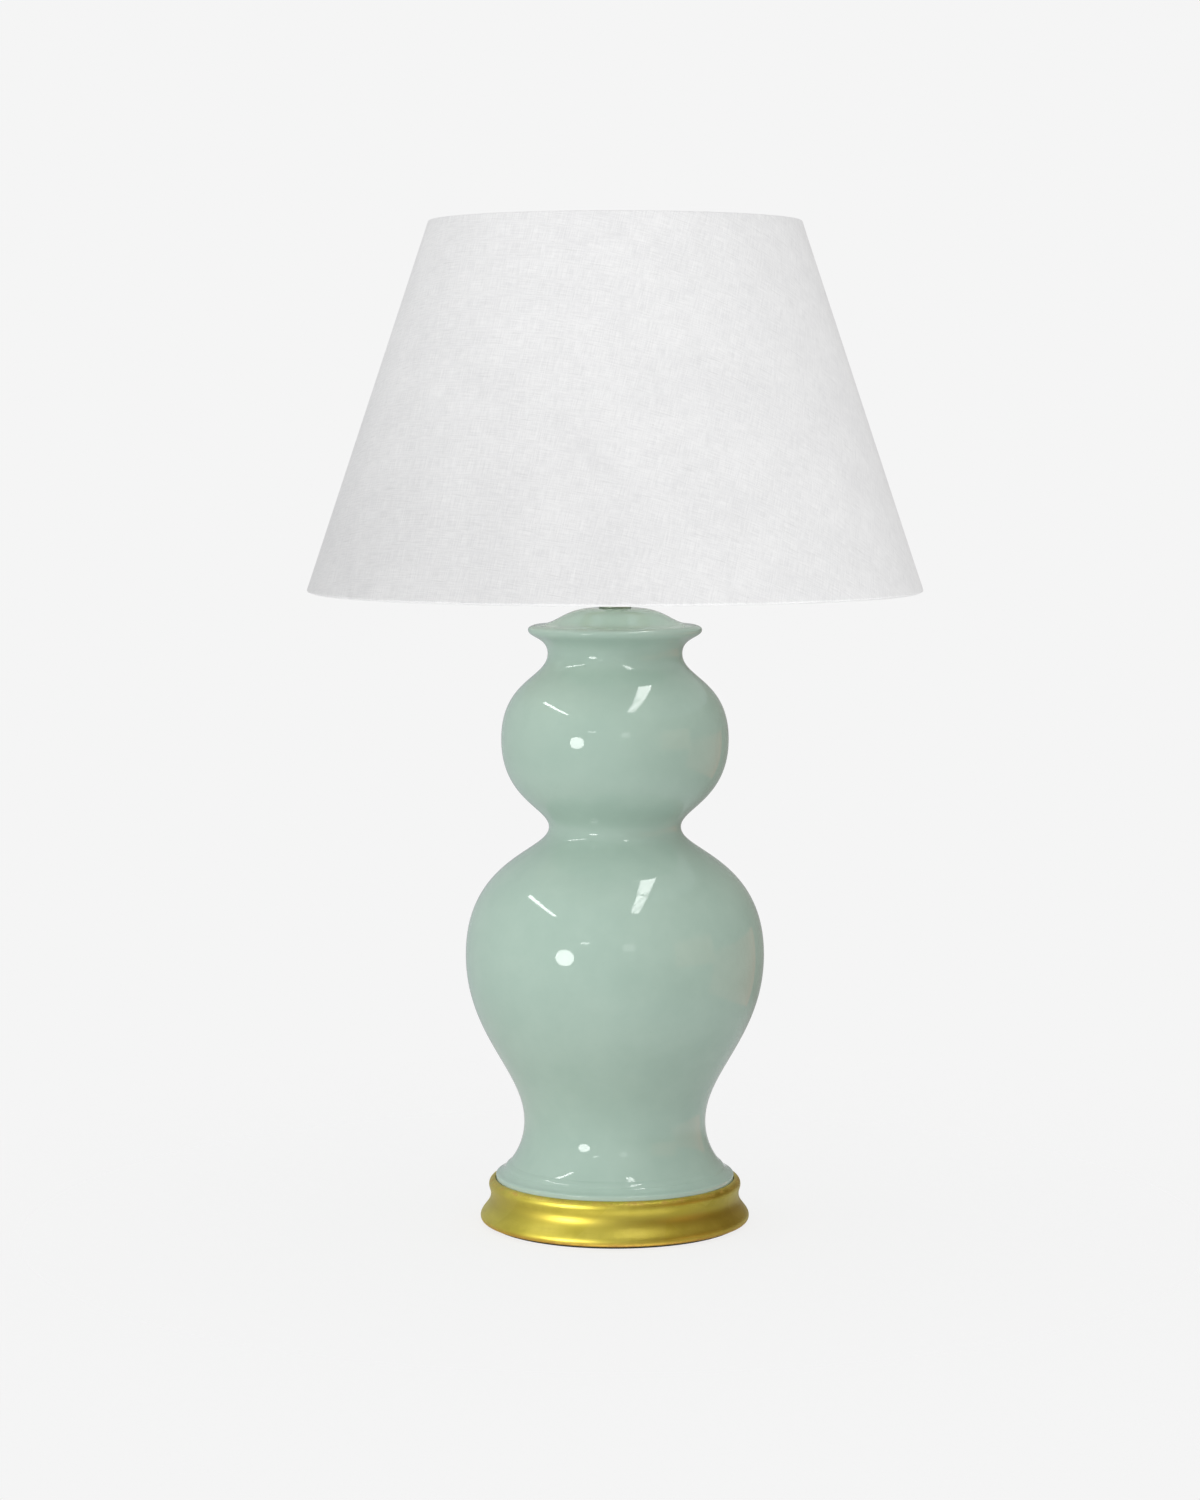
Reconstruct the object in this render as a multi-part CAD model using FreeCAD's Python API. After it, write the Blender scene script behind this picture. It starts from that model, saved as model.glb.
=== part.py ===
"""Double gourd table lamp: a glazed ceramic vase and lid on a gilt turned base, held together by one
threaded pipe, with a harp, a turn-key lampholder, a bulb and an empire shade in linen over a white liner.

Millimetres, +Z up. The origin is the middle of the flat underside. -Y is the front, and the lead leaves at +Y.
Heights are built up from the underside, piece on piece, so a piece that grows lifts what stands on it.
A turned outline is a row of stations, each (radius, rise, roundness). The rise is from the station below.
The outline runs straight up through a station, and roundness is the radius of its bend there.
"""

import FreeCAD
import Part

import itertools
import math
import os

V = FreeCAD.Vector
UP = V(0, 0, 1)
ORIGIN = V(0, 0, 0)

# ---------------------------------------------------------------- driving sizes

# base: a turned wooden foot, gilt, with felt below
# base outline: radii are out from the vase's foot
FELT_THICKNESS = 2.0
FELT_INSET = 3.0  # felt edge, in from the wood's lower edge
BASE_EDGE_OUT = 9.0  # where the wood meets the felt
BASE_WIDEST = (11.7, 3.2, 4.5)
BASE_COVE = (3.9, 16.4, 12.0)
BASE_LIP = (5.3, 7.4, 5.0)
BASE_RIM = 5.0  # rise from the lip to the top
SEAT_DEPTH = 4.5  # turned seat that takes the vase's foot
SEAT_GAP = 0.4
CHAMBER_R = 42.0  # hollow underneath, for the nut and the lead
CHAMBER_DEPTH = 16.0

# lead inlet: a snap bushing in the back of the base
LEAD_HEIGHT = 10.0  # of the inlet, above the wood's underside
LEAD_HOLE_R = 5.2
BUSHING_BORE_R = 3.2
BUSHING_FLANGE_R = 6.5
BUSHING_FLANGE = 2.0
BUSHING_LENGTH = 14.0
BUSHING_PROUD = 4.6  # outer face of the flange, out from the cove
SPOT_GAP = 0.5

# vase: slip-cast, double gourd, from its foot up
WALL = 6.5
FOOT = (89.5, 3.0, 5.0)
WAIST = (68.2, 42.6, 53.0)
BELLY = (111.8, 126.4, 127.0)
NECK = (49.4, 96.1, 9.0)
UPPER_BELLY = (84.9, 65.8, 86.0)
COLLAR = (50.2, 64.0, 15.0)
LIP = (64.8, 17.6, 4.5)
LIP_RIM = 4.3  # rise from the lip's widest to its top
FLOOR = 9.0  # top of the vase's floor, above its foot
FOOT_RING_WIDTH = 14.0
FOOT_RING_DEPTH = 2.0
FLOOR_HOLE_R = 11.0
FOOT_GASKET = 1.5
FOOT_GASKET_WIDTH = 12.0

# lid: sits in a rebate of the vase's lip, with a skirt that centres it in the mouth
LID_BAND = 5.4  # of the vase's lip, left round the lid
LID_GAP = 0.4
LID_FLANGE = 4.6
LID_RISE = 12.0
LID_CROWN_R = 14.0
LID_FLARE_ROUND = 36.0
LID_CROWN_ROUND = 80.0
LID_WALL = 6.0
LID_SKIRT_DEPTH = 9.0
LID_SKIRT_WALL = 5.0
LID_SKIRT_GAP = 0.8

# threaded pipe and what is clamped on it
PIPE_R = 4.95
PIPE_BORE_R = 3.4
PIPE_HOLE_GAP = 0.35
PIPE_TAIL = 3.0  # of pipe below the bottom nut
CLAMP_WASHER = (16.0, 2.0)  # radius, thickness
LOCK_WASHER = (9.0, 1.0)
LOCK_WASHER_TEETH = 10
BOTTOM_NUT = (14.3, 5.0)  # across flats, thickness
TOP_NUT = (14.3, 4.0)
SEAT_RING = (12.1, 3.0)
SEAT_RING_ROUND = 0.8
NECK_TUBE = (8.5, 14.0)  # radius, length
NECK_TUBE_WAIST = 1.4
PIPE_IN_SOCKET = 9.0

# harp saddle: a bent steel strip whose ends stand up
STRIP = 2.0
SADDLE_WIDTH = 12.0
SADDLE_TAB_WIDTH = 5.0
SADDLE_HALF = 30.5  # middle of the standing strip, from the axis
SADDLE_BEND = 7.0
SADDLE_SHOULDER = 10.0  # height of the shoulders that the sleeves rest on
SADDLE_TAB = 12.0

# harp: one bent wire with flattened feet, a stud at its top and two locking sleeves
WIRE_R = 1.8
HARP_FOOT = 10.0
HARP_FOOT_GAP = 0.3  # between the foot and the saddle's tab
HARP_LEG = 18.0
HARP_HALF = 56.0
HARP_FLARE_RISE = 62.0
HARP_TOP_ROUND = 46.0
FITTING_R = 5.0
FITTING_BELOW = 3.2
FITTING_ABOVE = 3.0
FITTING_FLANGE = (8.0, 2.0)
STUD_R = 3.1
STUD_LENGTH = 12.0
SLEEVE_WALL = 1.2
SLEEVE_HEIGHT = 13.0
SLEEVE_GAP = 0.25
SLEEVE_RIM = 0.9

# lampholder: brass cap and shell round a moulded interior
SOCKET_HUB = (7.5, 9.0)
SOCKET_CAP_R = 17.2
SOCKET_CAP_RISE = 9.0
SOCKET_CAP_SKIRT = 6.0
SOCKET_SHEET = 0.8
SHELL_GAP = 0.2
SHELL_HEIGHT = 49.0
SHELL_BEAD = 0.7
SHELL_BEADS = 3
SLEEVE_LINING = 0.8
LINING_BELOW_RIM = 2.5
INTERIOR_GAP = 0.3
INTERIOR_HEIGHT = 20.0
INTERIOR_FLAT = 11.0
SCREW_SHELL_WALL = 0.5
SCREW_SHELL_HEIGHT = 25.0
SCREW_SHELL_GAP = 0.35
CONTACT_STRIP = (6.0, 0.8)
CONTACT_RISE = 2.4
TERMINAL_HEAD = (3.0, 1.5)
TERMINAL_SHANK = (1.4, 4.0)
SET_SCREW = (1.5, 1.6)

# turn key of the switch, at the front of the lampholder
KEY_HEIGHT = 10.0  # of its axis, above the interior's underside
STEM_R = 2.0
STEM_RUN_GAP = 0.05
STEM_IN = 7.0
STEM_OUT = 9.0
STEM_SLOT_GAP = 1.2
KEY_COLLAR = (4.2, 3.5)
KEY_LENGTH = 15.0
KEY_HALF_WIDTH = 8.5
KEY_THICKNESS = 4.6
KEY_EDGE = 1.5

# bulb
BULB_CAP_R = 13.0
BULB_CAP_HEIGHT = 22.0
BULB_SHEET = 0.5
BULB_TIP = (4.6, 1.4)
BULB_INSULATOR = (9.0, 3.0)
BULB_GLASS = 1.0
BULB_R = 30.0
BULB_NECK_R = 14.2
BULB_NECK_ABOVE = 4.0  # glass neck, above the cap's rim
BULB_BODY_RISE = 47.0
BULB_IN_CAP = 6.0

# shade: fabric over a liner, hemmed round a wire ring at each end
SHADE_BOTTOM_R = 228.6
SHADE_TOP_R = 137.5
SHADE_HEIGHT = 272.0
SHADE_ABOVE_CROWN = 13.2  # lower edge, above the lid's crown
FABRIC = 0.6
LINER = 0.8
RING_R = 1.6
HEM = 8.0
SPIDER_ARMS = 3
SPIDER_ARM_R = 1.6
SPIDER_BEND = 6.0
SPIDER_DROP = 23.0  # underside of the washer, below the shade's top
SPIDER_WASHER = (15.0, 2.0, 3.5)  # radius, thickness, hole radius
FINIAL_HEIGHT = 21.0
FINIAL_FOOT_R = 7.5
FINIAL_BALL_R = 8.0
FINIAL_STEM_R = 3.9
FINIAL_THREAD_GAP = 0.06

# ---------------------------------------------------------------- heights, built up from the underside

base_z = FELT_THICKNESS
base_top_z = base_z + BASE_WIDEST[1] + BASE_COVE[1] + BASE_LIP[1] + BASE_RIM
seat_z = base_top_z - SEAT_DEPTH
vase_z = seat_z + FOOT_GASKET
OUTSIDE = [FOOT, WAIST, BELLY, NECK, UPPER_BELLY, COLLAR, LIP]
lip_top_z = vase_z + sum(station[1] for station in OUTSIDE) + LIP_RIM
lid_seat_z = lip_top_z - LID_FLANGE
crown_z = lip_top_z + LID_RISE
neck_z = crown_z + SEAT_RING[1]
saddle_z = neck_z + NECK_TUBE[1]
top_nut_z = saddle_z + STRIP
socket_z = top_nut_z + TOP_NUT[1]
pipe_top_z = socket_z + PIPE_IN_SOCKET
cap_rim_z = socket_z + SOCKET_HUB[1] + SOCKET_CAP_RISE + SOCKET_CAP_SKIRT
interior_z = cap_rim_z - SOCKET_CAP_SKIRT
shell_top_z = interior_z + SHELL_HEIGHT
screw_shell_z = interior_z + INTERIOR_HEIGHT
contact_top_z = screw_shell_z + CONTACT_RISE
bulb_cap_z = contact_top_z + BULB_TIP[1] + BULB_INSULATOR[1]
bulb_rim_z = bulb_cap_z + BULB_CAP_HEIGHT
key_z = interior_z + KEY_HEIGHT

chamber_z = base_z + CHAMBER_DEPTH
clamp_washer_z = chamber_z - CLAMP_WASHER[1]
lock_washer_z = clamp_washer_z - LOCK_WASHER[1]
bottom_nut_z = lock_washer_z - BOTTOM_NUT[1]
pipe_bottom_z = bottom_nut_z - PIPE_TAIL

shade_z = crown_z + SHADE_ABOVE_CROWN
shade_top_z = shade_z + SHADE_HEIGHT
washer_z = shade_top_z - SPIDER_DROP
shoulder_z = saddle_z + SADDLE_SHOULDER

pipe_hole_r = PIPE_R + PIPE_HOLE_GAP
lid_r = LIP[0] - LID_BAND
base_edge_r = FOOT[0] + BASE_EDGE_OUT
bushing_face_y = FOOT[0] + BASE_COVE[0] + BUSHING_PROUD
shell_r = SOCKET_CAP_R - SOCKET_SHEET - SHELL_GAP
lining_r = shell_r - SOCKET_SHEET
interior_r = lining_r - SLEEVE_LINING - INTERIOR_GAP
screw_shell_r = BULB_CAP_R + SCREW_SHELL_GAP + SCREW_SHELL_WALL

# ---------------------------------------------------------------- outlines and turned solids


def point(r, z):
    return V(r, 0, z)


def curve(*poles):
    """A Bezier curve in the XZ plane through its first and last pole."""
    bezier = Part.BezierCurve()
    bezier.setPoles([point(*pole) for pole in poles])
    return bezier.toShape()


def flow(low, high):
    """The outline from one station up to the next. Bends have the stations' own roundness, so that
    two such curves meet with no break in slope or in curvature."""
    (r0, z0, round0), (r1, z1, round1) = low, high
    step = abs(r1 - r0)
    pull0 = math.sqrt(2 / 3 * step * round0)
    pull1 = math.sqrt(2 / 3 * step * round1)
    return curve((r0, z0), (r0, z0 + pull0), (r1, z1 - pull1), (r1, z1))


def flows(stations):
    return [flow(low, high) for low, high in zip(stations, stations[1:])]


def stacked(stations, start_z):
    """Stations with their rises added up from a starting height."""
    heights = itertools.accumulate([start_z, *(rise for _, rise, _ in stations)])
    return [(r, z, bend) for (r, _, bend), z in zip(stations, list(heights)[1:])]


def rounding(start, end, start_is_upright=True, fullness=0.56):
    """A quarter turn between an upright and a level tangent."""
    (r0, z0), (r1, z1) = start, end
    if start_is_upright:
        handles = (r0, z0 + fullness * (z1 - z0)), (r1 + (1 - fullness) * (r0 - r1), z1)
    else:
        handles = (r0 + fullness * (r1 - r0), z0), (r1, z1 + (1 - fullness) * (z0 - z1))
    return curve(start, *handles, end)


def line(start, end):
    return Part.LineSegment(point(*start), point(*end)).toShape()


def lines(*points):
    return [line(start, end) for start, end in zip(points, points[1:])]


def turned(edges):
    """Solid of revolution about Z from outline edges given in order; the outline is closed here."""
    wire = Part.Wire(edges)
    first = wire.OrderedVertexes[0].Point
    last = wire.OrderedVertexes[-1].Point
    if not wire.isClosed():
        wire = Part.Wire([*wire.OrderedEdges, Part.LineSegment(last, first).toShape()])
    return Part.Face(wire).revolve(ORIGIN, UP, 360)


def turned_polygon(*points):
    return turned(lines(*points))


def ring(outer_r, inner_r, z, height):
    outer = Part.makeCylinder(outer_r, height, V(0, 0, z))
    return outer.cut(Part.makeCylinder(inner_r, height, V(0, 0, z)))


def rod(radius, start, end):
    """A round bar from start to end."""
    return Part.makeCylinder(radius, (end - start).Length, start, end - start)


def block(x, y, z):
    """A box from three (low, high) pairs."""
    low = V(x[0], y[0], z[0])
    return Part.makeBox(x[1] - x[0], y[1] - y[0], z[1] - z[0], low)


def hexagon(across_flats, height, z, hole_r):
    corner_r = across_flats / 2 / math.cos(math.pi / 6)
    corners = [V(corner_r * math.cos(k * math.pi / 3), corner_r * math.sin(k * math.pi / 3), z) for k in range(7)]
    prism = Part.Face(Part.makePolygon(corners)).extrude(V(0, 0, height))
    chamfer_rise = (corner_r - across_flats / 2) * math.tan(math.pi / 6)
    barrel = turned_polygon(
        (0, z),
        (across_flats / 2, z),
        (corner_r, z + chamfer_rise),
        (corner_r, z + height - chamfer_rise),
        (across_flats / 2, z + height),
        (0, z + height),
    )
    return prism.common(barrel).cut(Part.makeCylinder(hole_r, height, V(0, 0, z)))


def turned_copies(shape, count, first_angle=0.0):
    """Copies of a shape spread evenly round the Z axis."""
    copies = []
    for k in range(count):
        copy = shape.copy()
        copy.rotate(ORIGIN, UP, first_angle + 360 * k / count)
        copies.append(copy)
    return copies


# ---------------------------------------------------------------- base


def turned_base():
    seat_r = FOOT[0] + SEAT_GAP
    outline = [(FOOT[0] + out, rise, bend) for out, rise, bend in (BASE_WIDEST, BASE_COVE, BASE_LIP)]
    widest, cove, lip = stacked(outline, base_z)
    edges = [
        *lines((pipe_hole_r, chamber_z), (CHAMBER_R, chamber_z), (CHAMBER_R, base_z), (base_edge_r, base_z)),
        rounding((base_edge_r, base_z), widest[:2], start_is_upright=False),
        *flows([widest, cove, lip]),
        rounding(lip[:2], (seat_r, base_top_z)),
        *lines((seat_r, base_top_z), (seat_r, seat_z), (pipe_hole_r, seat_z)),
    ]
    base = turned(edges)
    lead_z = base_z + LEAD_HEIGHT
    flange_y = bushing_face_y - BUSHING_FLANGE
    outside_y = widest[0] + 1
    passage = rod(LEAD_HOLE_R, V(0, CHAMBER_R / 2, lead_z), V(0, outside_y, lead_z))
    spot_face = rod(BUSHING_FLANGE_R + SPOT_GAP, V(0, flange_y, lead_z), V(0, outside_y, lead_z))
    return base.cut(passage).cut(spot_face)


def base_felt():
    return Part.makeCylinder(base_edge_r - FELT_INSET, FELT_THICKNESS)


def lead_bushing():
    """Snap bushing: a flange outside, a tube through the wood, and a rounded mouth for the lead."""
    mouth = 0.8
    stations = [
        (BUSHING_BORE_R, 0),
        (LEAD_HOLE_R, 0),
        (LEAD_HOLE_R, BUSHING_LENGTH - BUSHING_FLANGE),
        (BUSHING_FLANGE_R, BUSHING_LENGTH - BUSHING_FLANGE),
        (BUSHING_FLANGE_R, BUSHING_LENGTH - mouth),
        (BUSHING_FLANGE_R - mouth, BUSHING_LENGTH),
        (BUSHING_BORE_R + mouth, BUSHING_LENGTH),
        (BUSHING_BORE_R, BUSHING_LENGTH - mouth),
    ]
    bushing = turned_polygon(*stations)
    bushing.rotate(ORIGIN, V(1, 0, 0), -90)
    bushing.translate(V(0, bushing_face_y - BUSHING_LENGTH, base_z + LEAD_HEIGHT))
    return bushing


def foot_gasket():
    outer_r = FOOT[0] - 1
    return ring(outer_r, outer_r - FOOT_GASKET_WIDTH, seat_z, FOOT_GASKET)


# ---------------------------------------------------------------- vase and lid


def inside(station, hollow_side):
    """A station moved in by the wall. A bend that is hollow seen from outside gets rounder inside."""
    r, z, bend = station
    return (r - WALL, z, bend + WALL if hollow_side else bend - WALL)


def gourd_vase():
    foot, waist, belly, neck, upper_belly, collar, lip = stations = stacked(OUTSIDE, vase_z)
    mouth_r = collar[0] - WALL
    rebate_r = lid_r + LID_GAP
    floor_z = vase_z + FLOOR
    under_z = vase_z + FOOT_RING_DEPTH
    ring_r = foot[0] - FOOT_RING_WIDTH
    outer = [line((foot[0], vase_z), foot[:2]), *flows(stations), rounding(lip[:2], (rebate_r, lip_top_z))]
    rebate = lines((rebate_r, lip_top_z), (rebate_r, lid_seat_z), (mouth_r, lid_seat_z))
    inner_stations = [
        (foot[0] - WALL, floor_z, foot[2]),
        inside(waist, True),
        inside(belly, False),
        inside(neck, True),
        inside(upper_belly, False),
        inside(collar, True),
    ]
    inner = [line((mouth_r, lid_seat_z), (mouth_r, collar[1])), *reversed(flows(inner_stations))]
    floor = lines(
        (foot[0] - WALL, floor_z),
        (FLOOR_HOLE_R, floor_z),
        (FLOOR_HOLE_R, under_z),
        (ring_r, under_z),
        (ring_r, vase_z),
        (foot[0], vase_z),
    )
    return turned([*outer, *rebate, *inner, *floor])


def vase_lid():
    """Ogee lid: a level flange in the lip's rebate, rising to a flat crown. Hollow below, with a skirt."""
    flare = math.sqrt(2 / 3 * LID_RISE * LID_FLARE_ROUND)
    crown = math.sqrt(2 / 3 * LID_RISE * LID_CROWN_ROUND)
    skirt_r = COLLAR[0] - WALL - LID_SKIRT_GAP
    hollow_r = skirt_r - LID_SKIRT_WALL
    hollow_z = crown_z - LID_WALL
    skirt_z = lid_seat_z - LID_SKIRT_DEPTH
    edge = 1.2
    edges = [
        line((lid_r, lid_seat_z), (lid_r, lip_top_z - edge)),
        rounding((lid_r, lip_top_z - edge), (lid_r - edge, lip_top_z)),
        curve(
            (lid_r - edge, lip_top_z),
            (lid_r - edge - flare, lip_top_z),
            (LID_CROWN_R + crown, crown_z),
            (LID_CROWN_R, crown_z),
        ),
        *lines((LID_CROWN_R, crown_z), (pipe_hole_r, crown_z), (pipe_hole_r, hollow_z), (LID_CROWN_R, hollow_z)),
        rounding((LID_CROWN_R, hollow_z), (hollow_r, lid_seat_z), start_is_upright=False),
        *lines((hollow_r, lid_seat_z), (hollow_r, skirt_z), (skirt_r, skirt_z), (skirt_r, lid_seat_z)),
        line((skirt_r, lid_seat_z), (lid_r, lid_seat_z)),
    ]
    return turned(edges)


# ---------------------------------------------------------------- pipe, nuts, washers and neck


def threaded_pipe():
    return ring(PIPE_R, PIPE_BORE_R, pipe_bottom_z, pipe_top_z - pipe_bottom_z)


def clamp_washer():
    return ring(CLAMP_WASHER[0], pipe_hole_r, clamp_washer_z, CLAMP_WASHER[1])


def lock_washer():
    """Shakeproof washer: an inner ring with teeth round it."""
    radius, thickness = LOCK_WASHER
    washer = ring(radius, PIPE_R, lock_washer_z, thickness)
    gap = block((radius - 1.8, radius + 1), (-0.8, 0.8), (lock_washer_z, lock_washer_z + thickness))
    return washer.cut(turned_copies(gap, LOCK_WASHER_TEETH))


def seat_ring():
    radius, height = SEAT_RING
    top = crown_z + height
    return turned([
        *lines((pipe_hole_r, crown_z), (radius, crown_z), (radius, top - SEAT_RING_ROUND)),
        rounding((radius, top - SEAT_RING_ROUND), (radius - SEAT_RING_ROUND, top)),
        *lines((radius - SEAT_RING_ROUND, top), (pipe_hole_r, top)),
    ])


def neck_tube():
    """Spun neck between the seat ring and the saddle, slightly drawn in at its middle."""
    radius, length = NECK_TUBE
    middle = (radius - NECK_TUBE_WAIST, neck_z + length / 2, length)
    low, high = (radius, neck_z, length), (radius, neck_z + length, length)
    return turned([
        line((pipe_hole_r, neck_z), low[:2]),
        *flows([low, middle, high]),
        line(high[:2], (pipe_hole_r, neck_z + length)),
    ])


# ---------------------------------------------------------------- harp saddle, harp and sleeves


def harp_saddle():
    """Steel strip with a flat middle and standing ends, cut narrow above the shoulders."""
    inner_x, outer_x = SADDLE_HALF - STRIP / 2, SADDLE_HALF + STRIP / 2
    inner_bend, outer_bend = SADDLE_BEND - STRIP / 2, SADDLE_BEND + STRIP / 2
    top_z = shoulder_z + SADDLE_TAB

    def quarter(side, x, z, bend):
        centre = V(side * (x - bend), 0, z + bend)
        turn = V(side * bend * math.sqrt(0.5), 0, -bend * math.sqrt(0.5))
        return Part.Arc(V(side * (x - bend), 0, z), centre + turn, V(side * x, 0, z + bend)).toShape()

    outside = [
        quarter(1, outer_x, saddle_z, outer_bend),
        line((outer_x, saddle_z + outer_bend), (outer_x, top_z)),
        line((outer_x, top_z), (inner_x, top_z)),
        line((inner_x, top_z), (inner_x, saddle_z + STRIP + inner_bend)),
        quarter(1, inner_x, saddle_z + STRIP, inner_bend),
    ]
    half = Part.Face(Part.Wire(Part.__sortEdges__([
        *outside,
        line((0, saddle_z), (outer_x - outer_bend, saddle_z)),
        line((0, saddle_z + STRIP), (inner_x - inner_bend, saddle_z + STRIP)),
        line((0, saddle_z), (0, saddle_z + STRIP)),
    ])))
    half.translate(V(0, -SADDLE_WIDTH / 2, 0))
    arm = half.extrude(V(0, SADDLE_WIDTH, 0))
    for side in (-1, 1):
        trim_y = sorted((side * SADDLE_TAB_WIDTH / 2, side * SADDLE_WIDTH))
        arm = arm.cut(block((inner_x - 1, outer_x + 1), trim_y, (shoulder_z, top_z + 1)))
    saddle = arm.fuse(arm.mirror(ORIGIN, V(1, 0, 0))).removeSplitter()
    return saddle.cut(Part.makeCylinder(pipe_hole_r, STRIP, V(0, 0, saddle_z)))


HARP_LEG_X = SADDLE_HALF + STRIP / 2 + HARP_FOOT_GAP + WIRE_R
harp_wire_z = washer_z - FITTING_FLANGE[1] - FITTING_ABOVE - WIRE_R


def harp_path():
    """Half of the harp's centre line in arcs and straight runs: up the leg, out to the full width by two
    equal arcs, straight up, and over to the axis."""
    leg_top = shoulder_z + HARP_LEG
    flare_x = HARP_HALF - HARP_LEG_X
    flare_top = leg_top + HARP_FLARE_RISE
    radius = (flare_x**2 + HARP_FLARE_RISE**2) / (4 * flare_x)
    middle = point((HARP_LEG_X + HARP_HALF) / 2, leg_top + HARP_FLARE_RISE / 2)
    half_turn = math.atan2(flare_x, HARP_FLARE_RISE)
    out_x = radius * (1 - math.cos(half_turn))
    out_z = radius * math.sin(half_turn)
    round_z = harp_wire_z - HARP_TOP_ROUND
    round_x = HARP_HALF - HARP_TOP_ROUND
    reach = HARP_TOP_ROUND * math.sqrt(0.5)
    return [
        line((HARP_LEG_X, shoulder_z + HARP_FOOT - WIRE_R), (HARP_LEG_X, leg_top)),
        Part.Arc(point(HARP_LEG_X, leg_top), point(HARP_LEG_X + out_x, leg_top + out_z), middle).toShape(),
        Part.Arc(middle, point(HARP_HALF - out_x, flare_top - out_z), point(HARP_HALF, flare_top)).toShape(),
        line((HARP_HALF, flare_top), (HARP_HALF, round_z)),
        Part.Arc(
            point(HARP_HALF, round_z), point(round_x + reach, round_z + reach), point(round_x, harp_wire_z)
        ).toShape(),
        line((round_x, harp_wire_z), (0, harp_wire_z)),
    ]


def harp_half():
    path = Part.Wire(harp_path())
    start = point(HARP_LEG_X, shoulder_z + HARP_FOOT - WIRE_R)
    section = Part.Wire(Part.makeCircle(WIRE_R, start, UP))
    wire = path.makePipeShell([section], True, False)
    inner_x = SADDLE_HALF + STRIP / 2 + HARP_FOOT_GAP
    foot = block(
        (inner_x, inner_x + STRIP),
        (-SADDLE_TAB_WIDTH / 2, SADDLE_TAB_WIDTH / 2),
        (shoulder_z, shoulder_z + HARP_FOOT),
    )
    return wire.fuse(foot)


def harp():
    half = harp_half()
    return half.fuse(half.mirror(ORIGIN, V(1, 0, 0))).removeSplitter()


def harp_stud():
    """Turned fitting on the harp's top: a barrel round the wire, a flange for the shade, and the stud."""
    flange_r, flange = FITTING_FLANGE
    stud_top = washer_z + STUD_LENGTH
    edge = 0.6
    barrel_z = harp_wire_z - WIRE_R - FITTING_BELOW
    body = turned_polygon(
        (0, barrel_z),
        (FITTING_R - edge, barrel_z),
        (FITTING_R, barrel_z + edge),
        (FITTING_R, washer_z - flange),
        (flange_r, washer_z - flange),
        (flange_r, washer_z),
        (STUD_R, washer_z),
        (STUD_R, stud_top - edge),
        (STUD_R - edge, stud_top),
        (0, stud_top),
    )
    cross_hole = rod(WIRE_R, V(-FITTING_R, 0, harp_wire_z), V(FITTING_R, 0, harp_wire_z))
    return body.cut(cross_hole)


sleeve_x = (SADDLE_HALF - STRIP / 2 + HARP_LEG_X + WIRE_R) / 2


def locking_sleeve(side):
    """Sleeve that slides down over the saddle's tab and the harp's foot, and rests on the shoulders."""
    tab_reach = math.hypot(sleeve_x - SADDLE_HALF + STRIP / 2, SADDLE_TAB_WIDTH / 2)
    bore_r = tab_reach + SLEEVE_GAP
    outer_r = bore_r + SLEEVE_WALL
    rim_r = outer_r + SLEEVE_RIM
    top = SLEEVE_HEIGHT
    sleeve = turned_polygon(
        (bore_r, 0),
        (rim_r, 0),
        (rim_r, SLEEVE_RIM),
        (outer_r, 2 * SLEEVE_RIM),
        (outer_r, top - 2 * SLEEVE_RIM),
        (rim_r, top - SLEEVE_RIM),
        (rim_r, top),
        (bore_r, top),
    )
    sleeve.translate(V(side * sleeve_x, 0, shoulder_z))
    return sleeve


# ---------------------------------------------------------------- lampholder


def stem_slot(wall_r):
    """What the stem needs cleared in a tube: a slot from its lower edge up to the stem."""
    half = STEM_R + STEM_SLOT_GAP
    depth = 4 * SOCKET_SHEET
    slot = block((-half, half), (-wall_r - depth, -wall_r + depth), (interior_z - 1, key_z))
    return slot.fuse(rod(half, V(0, -wall_r - depth, key_z), V(0, -wall_r + depth, key_z)))


def socket_cap():
    hub_r, hub_height = SOCKET_HUB
    hub_top = socket_z + hub_height
    skirt_z = hub_top + SOCKET_CAP_RISE
    sheet = SOCKET_SHEET
    inner_r = SOCKET_CAP_R - sheet
    cap = turned([
        *lines((PIPE_R, socket_z), (hub_r, socket_z), (hub_r, hub_top)),
        rounding((hub_r, hub_top), (SOCKET_CAP_R, skirt_z), start_is_upright=False),
        *lines((SOCKET_CAP_R, skirt_z), (SOCKET_CAP_R, cap_rim_z), (inner_r, cap_rim_z), (inner_r, skirt_z)),
        rounding((inner_r, skirt_z), (hub_r, hub_top + sheet), fullness=0.56),
        line((hub_r, hub_top + sheet), (PIPE_R, hub_top + sheet)),
    ])
    screw_z = socket_z + hub_height / 2
    screw_hole = rod(SET_SCREW[0], V(0, 0, screw_z), V(hub_r + 1, 0, screw_z))
    half = STEM_R + STEM_SLOT_GAP
    notch = block((-half, half), (-SOCKET_CAP_R - 1, -inner_r + 1), (key_z - half, cap_rim_z + 1))
    return cap.cut(screw_hole).cut(notch)


def set_screw():
    """Locks the cap to the pipe. Slotted head outside the hub."""
    z = socket_z + SOCKET_HUB[1] / 2
    tip = V(PIPE_R, 0, z)
    end = V(SOCKET_HUB[0] + SET_SCREW[1], 0, z)
    slot = block((end.x - 0.6, end.x), (-SET_SCREW[0], SET_SCREW[0]), (z - 0.25, z + 0.25))
    return rod(SET_SCREW[0], tip, end).cut(slot)


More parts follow.
